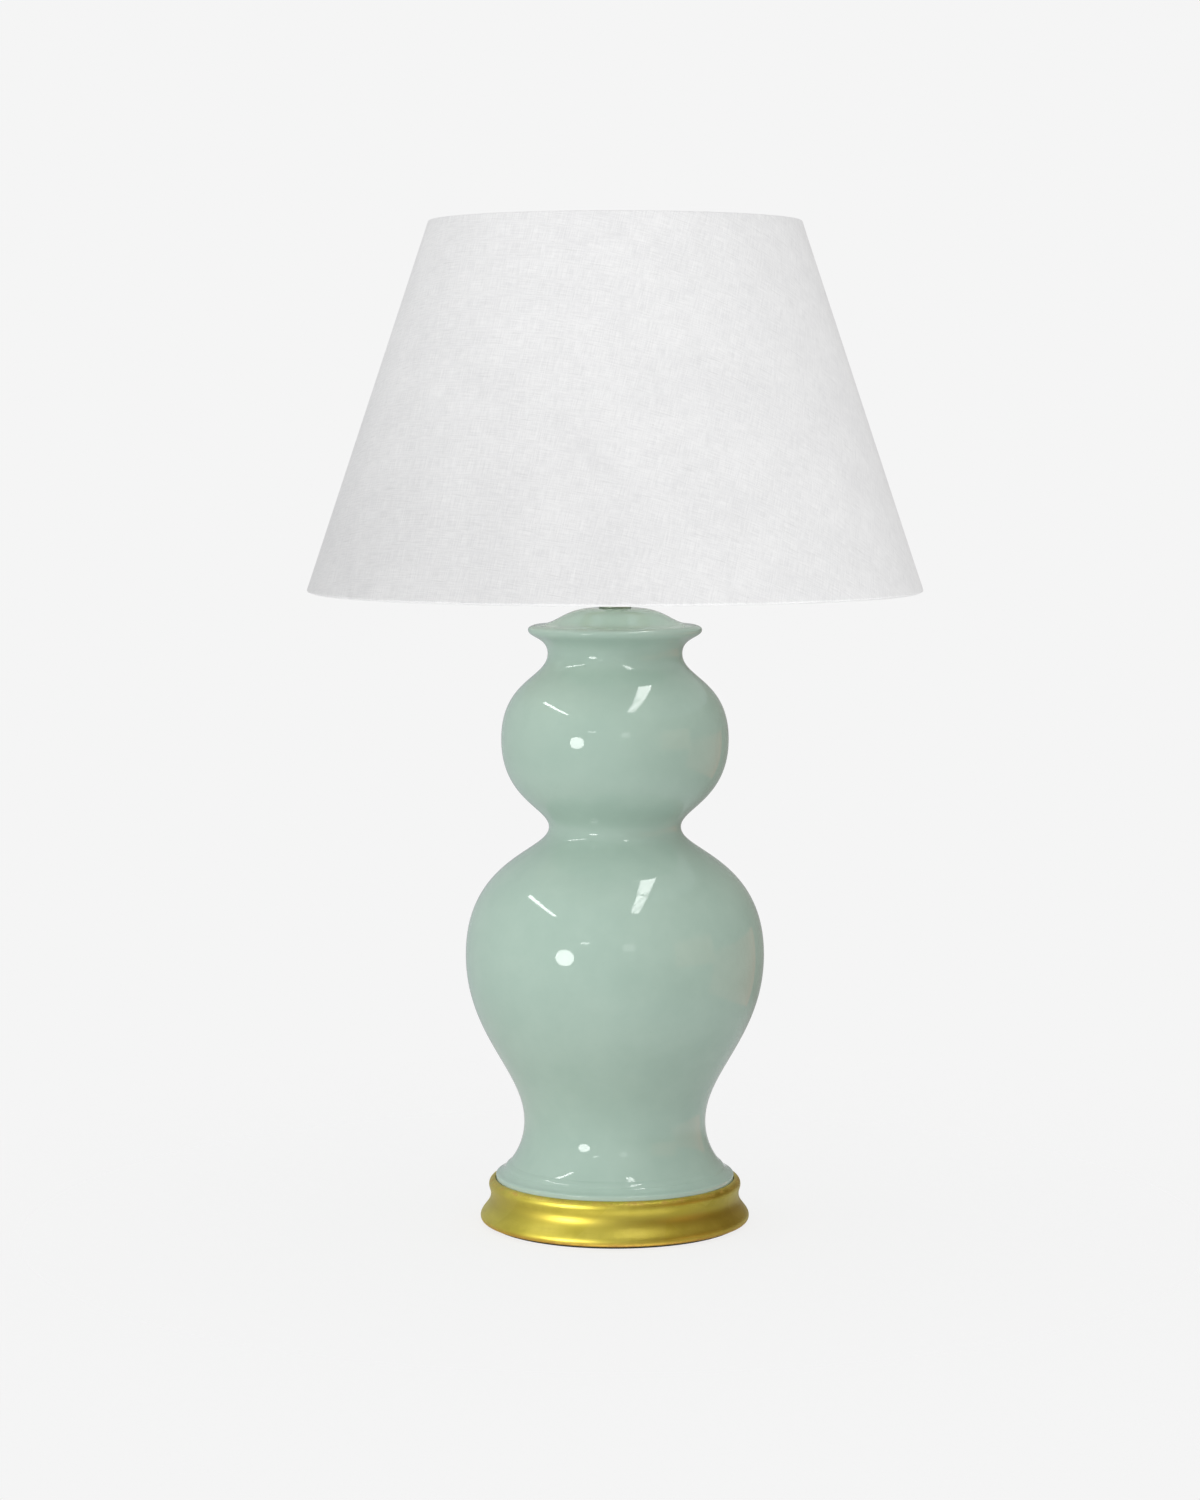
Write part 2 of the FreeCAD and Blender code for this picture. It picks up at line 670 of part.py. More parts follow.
def socket_shell():
    """Brass shell with beads rolled round its upper part and a turned-over rim."""
    sheet = SOCKET_SHEET
    inner_r = shell_r - sheet
    outline = [(inner_r, interior_z), (shell_r, interior_z)]
    pitch = 5.0
    first = shell_top_z - 6.0 - pitch * (SHELL_BEADS - 1)
    for k in range(SHELL_BEADS):
        z = first + pitch * k
        outline += [(shell_r, z - 1.2), (shell_r + SHELL_BEAD, z), (shell_r, z + 1.2)]
    outline += [
        (shell_r, shell_top_z - 1.6),
        (shell_r + SHELL_BEAD, shell_top_z - 1.2),
        (shell_r + SHELL_BEAD, shell_top_z),
        (inner_r, shell_top_z),
    ]
    return turned_polygon(*outline).cut(stem_slot(shell_r))


def socket_lining():
    height = shell_top_z - LINING_BELOW_RIM - interior_z
    return ring(lining_r, lining_r - SLEEVE_LINING, interior_z, height).cut(stem_slot(lining_r))


def socket_interior():
    """Moulded body of the lampholder: flats for the terminals, a well for the contact, and a bearing
    for the switch stem."""
    body = Part.makeCylinder(interior_r, INTERIOR_HEIGHT, V(0, 0, interior_z))
    flat_top = interior_z + INTERIOR_HEIGHT * 0.7
    for side in (-1, 1):
        flat_x = sorted((side * INTERIOR_FLAT, side * (interior_r + 1)))
        body = body.cut(block(flat_x, (-interior_r, interior_r), (interior_z - 1, flat_top)))
        body = body.cut(rod(TERMINAL_SHANK[0], V(side * INTERIOR_FLAT, 0, key_z), terminal_tip(side)))
    stem_hole = rod(STEM_R + STEM_RUN_GAP, V(0, -interior_r - 1, key_z), V(0, stem_inner_y, key_z))
    wire_way = Part.makeCylinder(PIPE_BORE_R, INTERIOR_HEIGHT * 0.2, V(0, 0, interior_z))
    return body.cut(stem_hole).cut(wire_way)


stem_inner_y = -interior_r + STEM_IN


def terminal_tip(side):
    return V(side * (INTERIOR_FLAT - TERMINAL_SHANK[1]), 0, key_z)


def terminal_screws():
    """One slotted screw on each flat of the interior."""
    screws = []
    for side in (-1, 1):
        head_start = V(side * INTERIOR_FLAT, 0, key_z)
        head_end = V(side * (INTERIOR_FLAT + TERMINAL_HEAD[1]), 0, key_z)
        slot_x = sorted((head_end.x, head_end.x - side * 0.5))
        slot = block(slot_x, (-TERMINAL_HEAD[0], TERMINAL_HEAD[0]), (key_z - 0.35, key_z + 0.35))
        screw = rod(TERMINAL_HEAD[0], head_start, head_end).fuse(rod(TERMINAL_SHANK[0], head_start, terminal_tip(side)))
        screws.append(screw.cut(slot))
    return Part.makeCompound(screws)


def screw_shell():
    return ring(screw_shell_r, screw_shell_r - SCREW_SHELL_WALL, screw_shell_z, SCREW_SHELL_HEIGHT)


def centre_contact():
    """Spring strip: flat on the interior at one end, raised under the bulb's tip."""
    width, thickness = CONTACT_STRIP
    reach = screw_shell_r - SCREW_SHELL_WALL - 1.5
    profile = [
        (-reach, 0),
        (-reach, thickness),
        (-reach * 0.45, thickness),
        (-reach * 0.1, CONTACT_RISE),
        (reach * 0.35, CONTACT_RISE),
        (reach * 0.35, CONTACT_RISE - thickness),
        (0, CONTACT_RISE - thickness),
        (-reach * 0.35, 0),
    ]
    corners = [V(x, -width / 2, screw_shell_z + z) for x, z in [*profile, profile[0]]]
    return Part.Face(Part.makePolygon(corners)).extrude(V(0, width, 0))


# ---------------------------------------------------------------- switch key

key_collar_y = -interior_r - STEM_OUT


def switch_stem():
    return rod(STEM_R, V(0, stem_inner_y, key_z), V(0, key_collar_y - KEY_COLLAR[1], key_z))


def switch_key():
    """Moulded turn key: a collar on the stem and a flat oval paddle."""
    collar_r, collar = KEY_COLLAR
    collar_end = key_collar_y - collar
    hub = rod(collar_r, V(0, key_collar_y, key_z), V(0, collar_end - KEY_LENGTH / 3, key_z))
    centre = V(0, collar_end - KEY_LENGTH / 2, key_z - KEY_THICKNESS / 2)
    oval = Part.Ellipse(centre, KEY_HALF_WIDTH, KEY_LENGTH / 2).toShape()
    paddle = Part.Face(Part.Wire(oval)).extrude(V(0, 0, KEY_THICKNESS))
    paddle = paddle.makeFillet(KEY_EDGE, [e for e in paddle.Edges if len(e.Vertexes) == 1])
    key = hub.fuse(paddle).removeSplitter()
    return key.cut(switch_stem())


# ---------------------------------------------------------------- bulb


def bulb_cap():
    inner_r = BULB_CAP_R - BULB_SHEET
    tip_r = BULB_INSULATOR[0]
    return turned_polygon(
        (tip_r, bulb_cap_z),
        (BULB_CAP_R, bulb_cap_z + 2),
        (BULB_CAP_R, bulb_rim_z),
        (inner_r, bulb_rim_z),
        (inner_r, bulb_cap_z + 2),
        (tip_r, bulb_cap_z + BULB_SHEET),
    )


def bulb_insulator():
    radius, height = BULB_INSULATOR
    z = bulb_cap_z - height
    return turned_polygon((0, z), (BULB_TIP[0], z), (radius, bulb_cap_z), (radius, bulb_cap_z + 1.5), (0, bulb_cap_z + 1.5))


def bulb_tip():
    return Part.makeCylinder(BULB_TIP[0], BULB_TIP[1], V(0, 0, contact_top_z))


def bulb_glass():
    """Closed glass envelope, standing in the cap."""
    neck_z_level = bulb_rim_z + BULB_NECK_ABOVE
    widest_z = neck_z_level + BULB_BODY_RISE

    def envelope(inset):
        stem_r = BULB_CAP_R - BULB_SHEET - inset
        neck = (BULB_NECK_R - inset, neck_z_level, 40.0)
        widest = (BULB_R - inset, widest_z, BULB_R - inset)
        foot_z = bulb_rim_z - BULB_IN_CAP + inset
        crown = point(0, widest_z + BULB_R - inset)
        bend = point((BULB_R - inset) * math.sqrt(0.5), widest_z + (BULB_R - inset) * math.sqrt(0.5))
        edges = [
            *lines((0, foot_z), (stem_r, foot_z), (stem_r, bulb_rim_z + inset), (neck[0], bulb_rim_z + inset)),
            line((neck[0], bulb_rim_z + inset), neck[:2]),
            flow(neck, widest),
            Part.Arc(point(widest[0], widest_z), bend, crown).toShape(),
        ]
        return turned(edges)

    return envelope(0).cut(envelope(BULB_GLASS))


# ---------------------------------------------------------------- shade


def slant(along, inward):
    """A point of the shade's section, from its lower outer edge: along the slope, and square to it."""
    run, rise = SHADE_TOP_R - SHADE_BOTTOM_R, SHADE_HEIGHT
    length = math.hypot(run, rise)
    unit = (run / length, rise / length)
    return (
        SHADE_BOTTOM_R + along * unit[0] - inward * unit[1],
        shade_z + along * unit[1] + inward * unit[0],
    )


slope_length = math.hypot(SHADE_TOP_R - SHADE_BOTTOM_R, SHADE_HEIGHT)
hem_outer = FABRIC + LINER + 2 * RING_R  # from the outer face to the turned-in hem


def shade_fabric():
    """Outer cover, turned in over the ring at both edges, with a gap in the upper hem at each arm."""
    far = slope_length
    section = [
        (0, 0),
        (far, 0),
        (far, hem_outer + FABRIC),
        (far - HEM, hem_outer + FABRIC),
        (far - HEM, hem_outer),
        (far - FABRIC, hem_outer),
        (far - FABRIC, FABRIC),
        (FABRIC, FABRIC),
        (FABRIC, hem_outer),
        (HEM, hem_outer),
        (HEM, hem_outer + FABRIC),
        (0, hem_outer + FABRIC),
    ]
    cover = turned_polygon(*[slant(*p) for p in section])
    return cover.cut(spider_arms(SPIDER_ARM_R + 0.1))


def shade_liner():
    corners = [(FABRIC, FABRIC), (slope_length - FABRIC, FABRIC)]
    inner = [(s, FABRIC + LINER) for s, _ in reversed(corners)]
    return turned_polygon(*[slant(*p) for p in corners + inner])


def wire_ring(along):
    r, z = slant(along, FABRIC + LINER + RING_R)
    return Part.makeTorus(r, RING_R, V(0, 0, z), UP)


def bottom_ring():
    return wire_ring(FABRIC + RING_R)


def spider_arms(radius):
    """Arms from the upper ring, down past the hem and level in to the washer."""
    ring_r, ring_z = slant(slope_length - FABRIC - RING_R, FABRIC + LINER + RING_R)
    level_z = washer_z + SPIDER_WASHER[1] / 2
    down_r = ring_r - hem_outer - SPIDER_BEND
    inner_r = SPIDER_WASHER[0] - 1.5
    bend = SPIDER_BEND
    reach = bend * (1 - math.sqrt(0.5))
    path = Part.Wire([
        line((ring_r, ring_z), (down_r + bend, ring_z)),
        Part.Arc(
            point(down_r + bend, ring_z), point(down_r + reach, ring_z - reach), point(down_r, ring_z - bend)
        ).toShape(),
        line((down_r, ring_z - bend), (down_r, level_z + bend)),
        Part.Arc(
            point(down_r, level_z + bend), point(down_r - reach, level_z + reach), point(down_r - bend, level_z)
        ).toShape(),
        line((down_r - bend, level_z), (inner_r, level_z)),
    ])
    section = Part.Wire(Part.makeCircle(radius, point(ring_r, ring_z), V(1, 0, 0)))
    arm = path.makePipeShell([section], True, False)
    return turned_copies(arm, SPIDER_ARMS, first_angle=90)


def shade_spider():
    """Upper ring, arms and washer, welded into one frame."""
    radius, thickness, hole_r = SPIDER_WASHER
    washer = ring(radius, hole_r, washer_z, thickness)
    frame = washer.fuse(spider_arms(SPIDER_ARM_R)).fuse(wire_ring(slope_length - FABRIC - RING_R))
    hole = Part.makeCylinder(hole_r, thickness + 4, V(0, 0, washer_z - 2))
    return frame.cut(hole)


def finial():
    """Small turned knob, tapped from below."""
    foot_z = washer_z + SPIDER_WASHER[1]
    ball_z = foot_z + FINIAL_HEIGHT - FINIAL_BALL_R
    tilt = math.asin(FINIAL_STEM_R / FINIAL_BALL_R)
    under = point(FINIAL_STEM_R, ball_z - FINIAL_BALL_R * math.cos(tilt))
    side = point(FINIAL_BALL_R, ball_z)
    foot_edge, foot = 0.6, 2.4
    solid = turned([
        *lines((0, foot_z), (FINIAL_FOOT_R - foot_edge, foot_z), (FINIAL_FOOT_R, foot_z + foot_edge)),
        line((FINIAL_FOOT_R, foot_z + foot_edge), (FINIAL_FOOT_R, foot_z + foot)),
        rounding((FINIAL_FOOT_R, foot_z + foot), (FINIAL_STEM_R, under.z), start_is_upright=False, fullness=0.9),
        Part.Arc(under, side, point(0, ball_z + FINIAL_BALL_R)).toShape(),
    ])
    thread_depth = STUD_LENGTH - SPIDER_WASHER[1] + 0.5
    return solid.cut(Part.makeCylinder(STUD_R + FINIAL_THREAD_GAP, thread_depth, V(0, 0, foot_z)))


# ---------------------------------------------------------------- build

NODES = {
    "turned_base": turned_base,
    "base_felt": base_felt,
    "lead_bushing": lead_bushing,
    "foot_gasket": foot_gasket,
    "gourd_vase": gourd_vase,
    "vase_lid": vase_lid,
    "threaded_pipe": threaded_pipe,
    "clamp_washer": clamp_washer,
    "lock_washer": lock_washer,
    "bottom_nut": lambda: hexagon(BOTTOM_NUT[0], BOTTOM_NUT[1], bottom_nut_z, PIPE_R),
    "seat_ring": seat_ring,
    "neck_tube": neck_tube,
    "harp_saddle": harp_saddle,
    "top_nut": lambda: hexagon(TOP_NUT[0], TOP_NUT[1], top_nut_z, PIPE_R),
    "harp_wire": harp,
    "harp_stud": harp_stud,
    "locking_sleeve_left": lambda: locking_sleeve(-1),
    "locking_sleeve_right": lambda: locking_sleeve(1),
    "socket_cap": socket_cap,
    "set_screw": set_screw,
    "socket_shell": socket_shell,
    "socket_lining": socket_lining,
    "socket_interior": socket_interior,
    "terminal_screws": terminal_screws,
    "screw_shell": screw_shell,
    "centre_contact": centre_contact,
    "switch_stem": switch_stem,
    "switch_key": switch_key,
    "bulb_cap": bulb_cap,
    "bulb_insulator": bulb_insulator,
    "bulb_tip": bulb_tip,
    "bulb_glass": bulb_glass,
    "shade_fabric": shade_fabric,
    "shade_liner": shade_liner,
    "bottom_ring": bottom_ring,
    "shade_spider": shade_spider,
    "finial": finial,
}

os.makedirs("parts", exist_ok=True)
for name, make in NODES.items():
    shape = make()
    solids = Part.makeCompound(shape.Solids)
    solids.exportStep(f"parts/{name}.step")
    box = solids.BoundBox
    good = solids.isValid() and all(s.isClosed() for s in solids.Solids)
    print(f"{name:22s} solids {len(solids.Solids)} {'valid' if good else 'BAD'} volume {solids.Volume:12.1f}"
          f" z {box.ZMin:7.2f} to {box.ZMax:7.2f} x {box.XMin:7.1f} to {box.XMax:7.1f}")
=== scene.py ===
"""Looks of the double gourd table lamp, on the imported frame. Shapes are written in millimetres."""

import math
import random

import bpy
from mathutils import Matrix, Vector


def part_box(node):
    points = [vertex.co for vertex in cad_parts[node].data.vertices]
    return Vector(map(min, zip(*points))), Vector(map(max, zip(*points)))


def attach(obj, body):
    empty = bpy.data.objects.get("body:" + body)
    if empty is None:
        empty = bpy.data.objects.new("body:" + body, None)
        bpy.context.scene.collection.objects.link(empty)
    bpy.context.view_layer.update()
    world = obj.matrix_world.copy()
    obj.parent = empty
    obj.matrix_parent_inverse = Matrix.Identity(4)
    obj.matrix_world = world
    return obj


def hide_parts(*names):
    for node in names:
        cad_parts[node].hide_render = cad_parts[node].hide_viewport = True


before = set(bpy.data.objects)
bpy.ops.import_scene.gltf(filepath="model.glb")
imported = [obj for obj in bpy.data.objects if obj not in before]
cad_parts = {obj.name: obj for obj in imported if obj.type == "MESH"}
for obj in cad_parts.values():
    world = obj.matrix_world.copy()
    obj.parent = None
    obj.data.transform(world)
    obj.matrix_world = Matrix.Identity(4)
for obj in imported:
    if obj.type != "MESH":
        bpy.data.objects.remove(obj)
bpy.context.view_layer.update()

# ---------------------------------------------------------------- measures, in millimetres

MM = 0.001
AROUND = 192
AROUND_FINE = 256
SAME_POINT = 1e-4
ON_AXIS = 1e-6

SHADE_LOW_R = 228.6
SHADE_HIGH_R = 137.5
SHADE_RISE = 272.0
SHADE_LOW_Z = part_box("shade_fabric")[1].z / MM - SHADE_RISE
SLOPE = math.hypot(SHADE_LOW_R - SHADE_HIGH_R, SHADE_RISE)
CONE = (SHADE_LOW_R - SHADE_HIGH_R) / SLOPE
SEAM = math.radians(138)

FOOT_R, FOOT_Z = 89.5, 34.0
WAIST_R, WAIST_Z = 68.2, 76.6
NECK_Z, UPPER_Z = 299.1, 364.9
LIP_R, LIP_Z = 64.8, 446.5
STATIONS = [
    (FOOT_R, FOOT_Z, 5.0), (WAIST_R, WAIST_Z, 53.0), (111.8, 203.0, 127.0), (49.4, NECK_Z, 9.0),
    (84.9, UPPER_Z, 86.0), (50.2, 428.9, 15.0), (LIP_R, LIP_Z, 3.2),
]
WALL = 6.5
VASE_FLOOR = 40.0
LIP_TOP = 450.8
LID_EDGE = 450.1
LID_SEAT = 446.2
REBATE_R = 59.8
CROWN = 462.8
COLLAR_TOP = 465.8
BORE_R = 5.3
FELT_R, FELT_TOP = 95.5, 2.0
CHAMBER_R = 42.0
BASE_TOP = 34.0
SEAT_R = 89.9
LEAD_Z = 12

HARP_LEG_X = 33.6
HARP_HALF = 56.0
SHOULDER = 489.8
FINE_PITCH = 0.94
BULB_PITCH = 3.6

# ---------------------------------------------------------------- shader maths


class Value:
    """A shader value that Python expressions can be written on."""

    def __init__(self, finish, socket):
        self.finish = finish
        self.socket = socket

    def _maths(self, operation, *values):
        return self.finish.node("ShaderNodeMath", {"operation": operation}, dict(enumerate(values)))

    def __add__(self, other):
        return self._maths("ADD", self, other)

    def __radd__(self, other):
        return self._maths("ADD", other, self)

    def __sub__(self, other):
        return self._maths("SUBTRACT", self, other)

    def __rsub__(self, other):
        return self._maths("SUBTRACT", other, self)

    def __mul__(self, other):
        return self._maths("MULTIPLY", self, other)

    def __rmul__(self, other):
        return self._maths("MULTIPLY", other, self)

    def __truediv__(self, other):
        return self._maths("DIVIDE", self, other)

    def __rtruediv__(self, other):
        return self._maths("DIVIDE", other, self)

    def __pow__(self, other):
        return self._maths("POWER", self, other)

    def __abs__(self):
        return self._maths("ABSOLUTE", self)

    def maths(self, operation, *others):
        return self._maths(operation, self, *others)

    def smooth(self, low, high):
        """0 below low, 1 above high, and a soft step between. low above high turns the step round."""
        if low > high:
            return 1 - self.smooth(high, low)
        settings = {"interpolation_type": "SMOOTHSTEP", "clamp": True}
        return self.finish.node("ShaderNodeMapRange", settings, {"Value": self, "From Min": low, "From Max": high})

    def near(self, middle, width):
        """1 at the middle, falling softly to 0 at a width either side."""
        return abs(self - middle).smooth(width, 0)


def linear(red, green, blue):
    """A colour given as 0 to 255 screen values."""
    return tuple((c / 255 / 12.92) if c <= 10 else ((c / 255 + 0.055) / 1.055) ** 2.4 for c in (red, green, blue))


class Finish:
    """One procedural finish. Every node comes from node()."""

    def __init__(self, name, tree=None):
        if tree is None:
            self.material = bpy.data.materials.new(name)
            self.material.use_nodes = True
            tree = self.material.node_tree
        self.tree = tree
        tree.nodes.clear()

    def node(self, kind, settings=None, sockets=None, output=0):
        """A node of one kind: its settings first, then a value or a link for each socket. The result is one output."""
        node = self.tree.nodes.new(kind)
        for key, setting in (settings or {}).items():
            setattr(node, key, setting)
        for key, value in (sockets or {}).items():
            self.join(self.pick(node.inputs, key), value)
        return Value(self, self.pick(node.outputs, output)) if node.outputs else None

    @staticmethod
    def pick(sockets, key):
        if isinstance(key, int):
            return sockets[key]
        for socket in sockets:
            if socket.identifier == key:
                return socket
        return sockets[key]

    def join(self, socket, value):
        if isinstance(value, Value):
            self.tree.links.new(value.socket, socket)
        elif isinstance(value, tuple) and len(value) == 3 and socket.type == "RGBA":
            socket.default_value = (*value, 1.0)
        else:
            socket.default_value = value

    def place(self):
        """The place on the surface, in metres."""
        return self.node("ShaderNodeTexCoord", output="Object")

    def place_in_mm(self):
        """x, y and z of the place on the surface, in millimetres."""
        return self.split(self.stretched(self.place(), (1000.0, 1000.0, 1000.0)))

    def split(self, vector):
        separate = self.node("ShaderNodeSeparateXYZ", None, {0: vector}).socket.node
        return [Value(self, output) for output in separate.outputs]

    def vector(self, x, y, z):
        return self.node("ShaderNodeCombineXYZ", None, {0: x, 1: y, 2: z})

    def stretched(self, vector, scale):
        return self.node("ShaderNodeVectorMath", {"operation": "MULTIPLY"}, {0: vector, 1: scale})

    def noise(self, vector, scale, detail=3.0, roughness=0.5, warp=0.0):
        sockets = {"Vector": vector, "Scale": scale, "Detail": detail, "Roughness": roughness, "Distortion": warp}
        return self.node("ShaderNodeTexNoise", None, sockets, "Fac")

    def cells(self, vector, scale, output="Color", feature="F1"):
        return self.node("ShaderNodeTexVoronoi", {"feature": feature}, {"Vector": vector, "Scale": scale}, output)

    def blend(self, mask, first, second):
        """first where the mask is 0, second where it is 1."""
        settings = {"data_type": "RGBA", "blend_type": "MIX", "clamp_factor": True}
        sockets = {"Factor_Float": mask, "A_Color": first, "B_Color": second}
        return self.node("ShaderNodeMix", settings, sockets, "Result_Color")

    def bump(self, height, depth, strength=1.0, under=None):
        """Relief: the height is 0 to 1 and the depth is in millimetres."""
        sockets = {"Height": height, "Distance": depth * MM, "Strength": strength}
        if under is not None:
            sockets["Normal"] = under
        return self.node("ShaderNodeBump", None, sockets)

    def surface(self, colour, roughness, normal=None, **constants):
        sockets = {"Base Color": colour, "Roughness": roughness}
        if normal is not None:
            sockets["Normal"] = normal
        sockets.update({key.replace("_", " "): value for key, value in constants.items()})
        shader = self.node("ShaderNodeBsdfPrincipled", None, sockets)
        self.node("ShaderNodeOutputMaterial", None, {"Surface": shader})
        return self.material


def around_axis(finish):
    """Angle from the front, distance from the axis and height, in radians and millimetres."""
    x, y, z = finish.place_in_mm()
    angle = x.maths("ARCTAN2", 0 - y)
    radius = (x * x + y * y) ** 0.5
    return angle, radius, z


# ---------------------------------------------------------------- finishes


def slubbed_linen():
    """Bleached linen cut from the flat: the threads stay straight on the unrolled cone, with its seam behind."""
    f = Finish("slubbed_linen")
    x, y, _ = f.place_in_mm()
    away, beside = -math.sin(SEAM), math.cos(SEAM)
    turn = (y * away - x * beside).maths("ARCTAN2", x * away + y * beside) * CONE
    reach = (x * x + y * y) ** 0.5 / CONE
    across = reach * turn.maths("SINE")
    along = reach * turn.maths("COSINE")
    cloth = f.vector(across, along, 0.0)
    warp = f.noise(f.stretched(cloth, (1.25, 0.075, 1.0)), 1.0, 4.0, 0.65)
    weft = f.noise(f.stretched(cloth, (0.07, 1.35, 1.0)), 1.0, 4.0, 0.65)
    slub = f.noise(f.stretched(cloth, (0.045, 1.0, 1.0)), 1.0, 1.0, 0.4).smooth(0.66, 0.78)
    ridge = f.noise(f.stretched(cloth, (1.0, 0.03, 1.0)), 1.0, 1.0, 0.4).smooth(0.64, 0.78)
    knot = f.noise(f.stretched(cloth, (0.3, 0.7, 1.0)), 1.0, 2.0, 0.5).smooth(0.71, 0.8)
    cloud = f.noise(cloth, 0.022, 3.0, 0.6)
    thread_apart = 0.62
    warp_wave = (across * (math.pi / thread_apart)).maths("SINE")
    weft_wave = (along * (math.pi / thread_apart)).maths("SINE")
    over = (warp_wave * weft_wave).smooth(-0.3, 0.3)
    thread = over * abs(warp_wave) + (1 - over) * abs(weft_wave)
    streaks = warp * 0.5 + weft * 0.5
    tone = (streaks + (cloud - 0.5) * 0.2).smooth(0.3, 0.7)
    colour = f.blend(tone, linear(225, 225, 226), linear(246, 246, 246))
    colour = f.blend(slub * 0.45, colour, linear(212, 212, 212))
    colour = f.blend(ridge * 0.35, colour, linear(252, 252, 252))
    colour = f.blend(knot * 0.5, colour, linear(208, 206, 204))
    relief = streaks * 0.5 + thread * 0.3 + slub * 0.25 + ridge * 0.25
    return f.surface(colour, 0.86 - streaks * 0.1, f.bump(relief, 0.24, 0.5), Sheen_Weight=0.08, Sheen_Roughness=0.6)


def white_styrene():
    """Smooth rolled sheet on the inside of the shade, faintly mottled by the glue behind it."""
    f = Finish("white_styrene")
    spot = f.place()
    mottle = f.noise(spot, 34.0, 4.0, 0.6)
    brushed = f.noise(f.stretched(spot, (6.0, 6.0, 1.2)), 22.0, 2.0, 0.5)
    colour = f.blend(mottle, linear(236, 236, 233), linear(247, 247, 245))
    return f.surface(colour, 0.42 + brushed * 0.16, f.bump(brushed, 0.05, 0.4), Specular_IOR_Level=0.4)


def celadon_glaze():
    """Thick glossy glaze: a little deeper from the neck over the upper swelling, and paler where it thins on the edges
    of foot and lip."""
    f = Finish("celadon_glaze")
    spot = f.place()
    _, radius, z = around_axis(f)
    drift = (f.noise(spot, 9.0, 3.0, 0.55) - 0.5) * 6
    height = z + drift
    pooled = height.near(NECK_Z, 22) * 0.6 + height.near(UPPER_Z - 4, 34)
    edge = height.near(FOOT_Z - 1, 6) * 0.9 + height.near(LIP_TOP - 1.2, 3.2) * radius.smooth(57, 60)
    mottle = f.noise(spot, 26.0, 5.0, 0.6)
    tiny = f.noise(spot, 420.0, 2.0, 0.5)
    colour = f.blend(mottle.smooth(0.3, 0.72), linear(164, 187, 174), linear(170, 192, 179))
    colour = f.blend(pooled * 0.25, colour, linear(155, 178, 165))
    colour = f.blend(edge * 0.6, colour, linear(184, 203, 192))
    colour = f.blend(tiny.smooth(0.66, 0.8) * 0.12, colour, linear(140, 162, 150))
    wave = f.noise(f.stretched(spot, (1.0, 1.0, 1.6)), 16.0, 1.0, 0.4)
    skin = f.noise(spot, 190.0, 2.0, 0.5)
    relief = f.bump(skin, 0.004, 0.4, f.bump(wave, 0.12, 0.18))
    return f.surface(colour, 0.035 + mottle * 0.03, relief, IOR=1.5)


def gold_leaf():
    """Leaf laid in overlapping squares over red clay, burnished on the beads and rubbed through at the edges, with a
    painted orange reflection along the bottom edge.
    """
    f = Finish("gold_leaf")
    spot = f.place()
    low_bead, cove, high_bead = 2.6, 19.0, 32.6
    angle, _, z = around_axis(f)
    laid = f.vector(angle * 1.35, z * 0.012, 0.0)
    leaf_tone = f.split(f.cells(laid, 1.6))[0]
    brush = f.noise(f.vector(angle * 3.0, z * 0.8, 0.0), 1.0, 5.0, 0.65)
    turning = f.noise(f.vector(angle * 1.5, z * 3.2, 0.0), 1.0, 2.0, 0.5)
    cloud = f.noise(spot, 42.0, 5.0, 0.62)
    rub = f.noise(spot, 160.0, 4.0, 0.7)
    worn = z.near(high_bead, 2.4).maths("MAXIMUM", z.near(low_bead, 2.6)) * rub.smooth(0.42, 0.66)
    hollow = z.near(cove, 9.0) * cloud.smooth(0.3, 0.62)
    colour = f.blend(cloud.smooth(0.3, 0.7), linear(188, 172, 58), linear(208, 192, 76))
    colour = f.blend(leaf_tone * 0.35, colour, linear(220, 206, 100))
    colour = f.blend(brush.smooth(0.55, 0.8) * 0.5, colour, linear(178, 156, 54))
    colour = f.blend(hollow * 0.4, colour, linear(158, 136, 50))
    # Painted reflection: the lowest few millimetres, under the lower bead, are tinted orange like a warm reflection
    # along the bottom edge.
    colour = f.blend(z.smooth(7.0, 2.5) * 0.6, colour, linear(206, 158, 66))
    colour = f.blend(worn * 0.45, colour, linear(168, 96, 44))
    roughness = 0.38 + cloud * 0.12 + worn * 0.2 + brush * 0.06
    relief = f.bump(turning, 0.03, 0.6, f.bump(brush, 0.1, 0.4, f.bump(rub, 0.05, 0.5)))
    metal = 0.96 - worn * 0.5
    return f.surface(colour, roughness, relief, Metallic=metal, Coat_Weight=0.28, Coat_Roughness=0.32)


def worked_metal(name, bright, dull, roughness, scale=60.0, lines=(1.0, 1.0, 1.0), depth=0.03):
    """Metal with fine working lines, cloudy tarnish and small dents. The tones are its bright and dull places."""
    f = Finish(name)
    spot = f.place()
    cloud = f.noise(spot, scale, 5.0, 0.6)
    working = f.noise(f.stretched(spot, lines), scale * 12, 3.0, 0.55)
    colour = f.blend(cloud.smooth(0.32, 0.7), linear(*dull), linear(*bright))
    rough = roughness + cloud * 0.12 + working * 0.06
    return f.surface(colour, rough, f.bump(working, depth, 0.5), Metallic=0.97 - cloud.smooth(0.7, 0.9) * 0.15)


def moulded(name, tone, pale, roughness, scale=90.0, depth=0.05, **constants):
    """Moulded plastic, board or glass with fine grain and a slightly uneven tone."""
    f = Finish(name)
    spot = f.place()
    grain = f.noise(spot, scale * 7, 3.0, 0.6)
    cloud = f.noise(spot, scale, 4.0, 0.6)
    colour = f.blend(cloud.smooth(0.3, 0.75), linear(*tone), linear(*pale))
    return f.surface(colour, roughness + grain * 0.14, f.bump(grain, depth, 0.5), **constants)


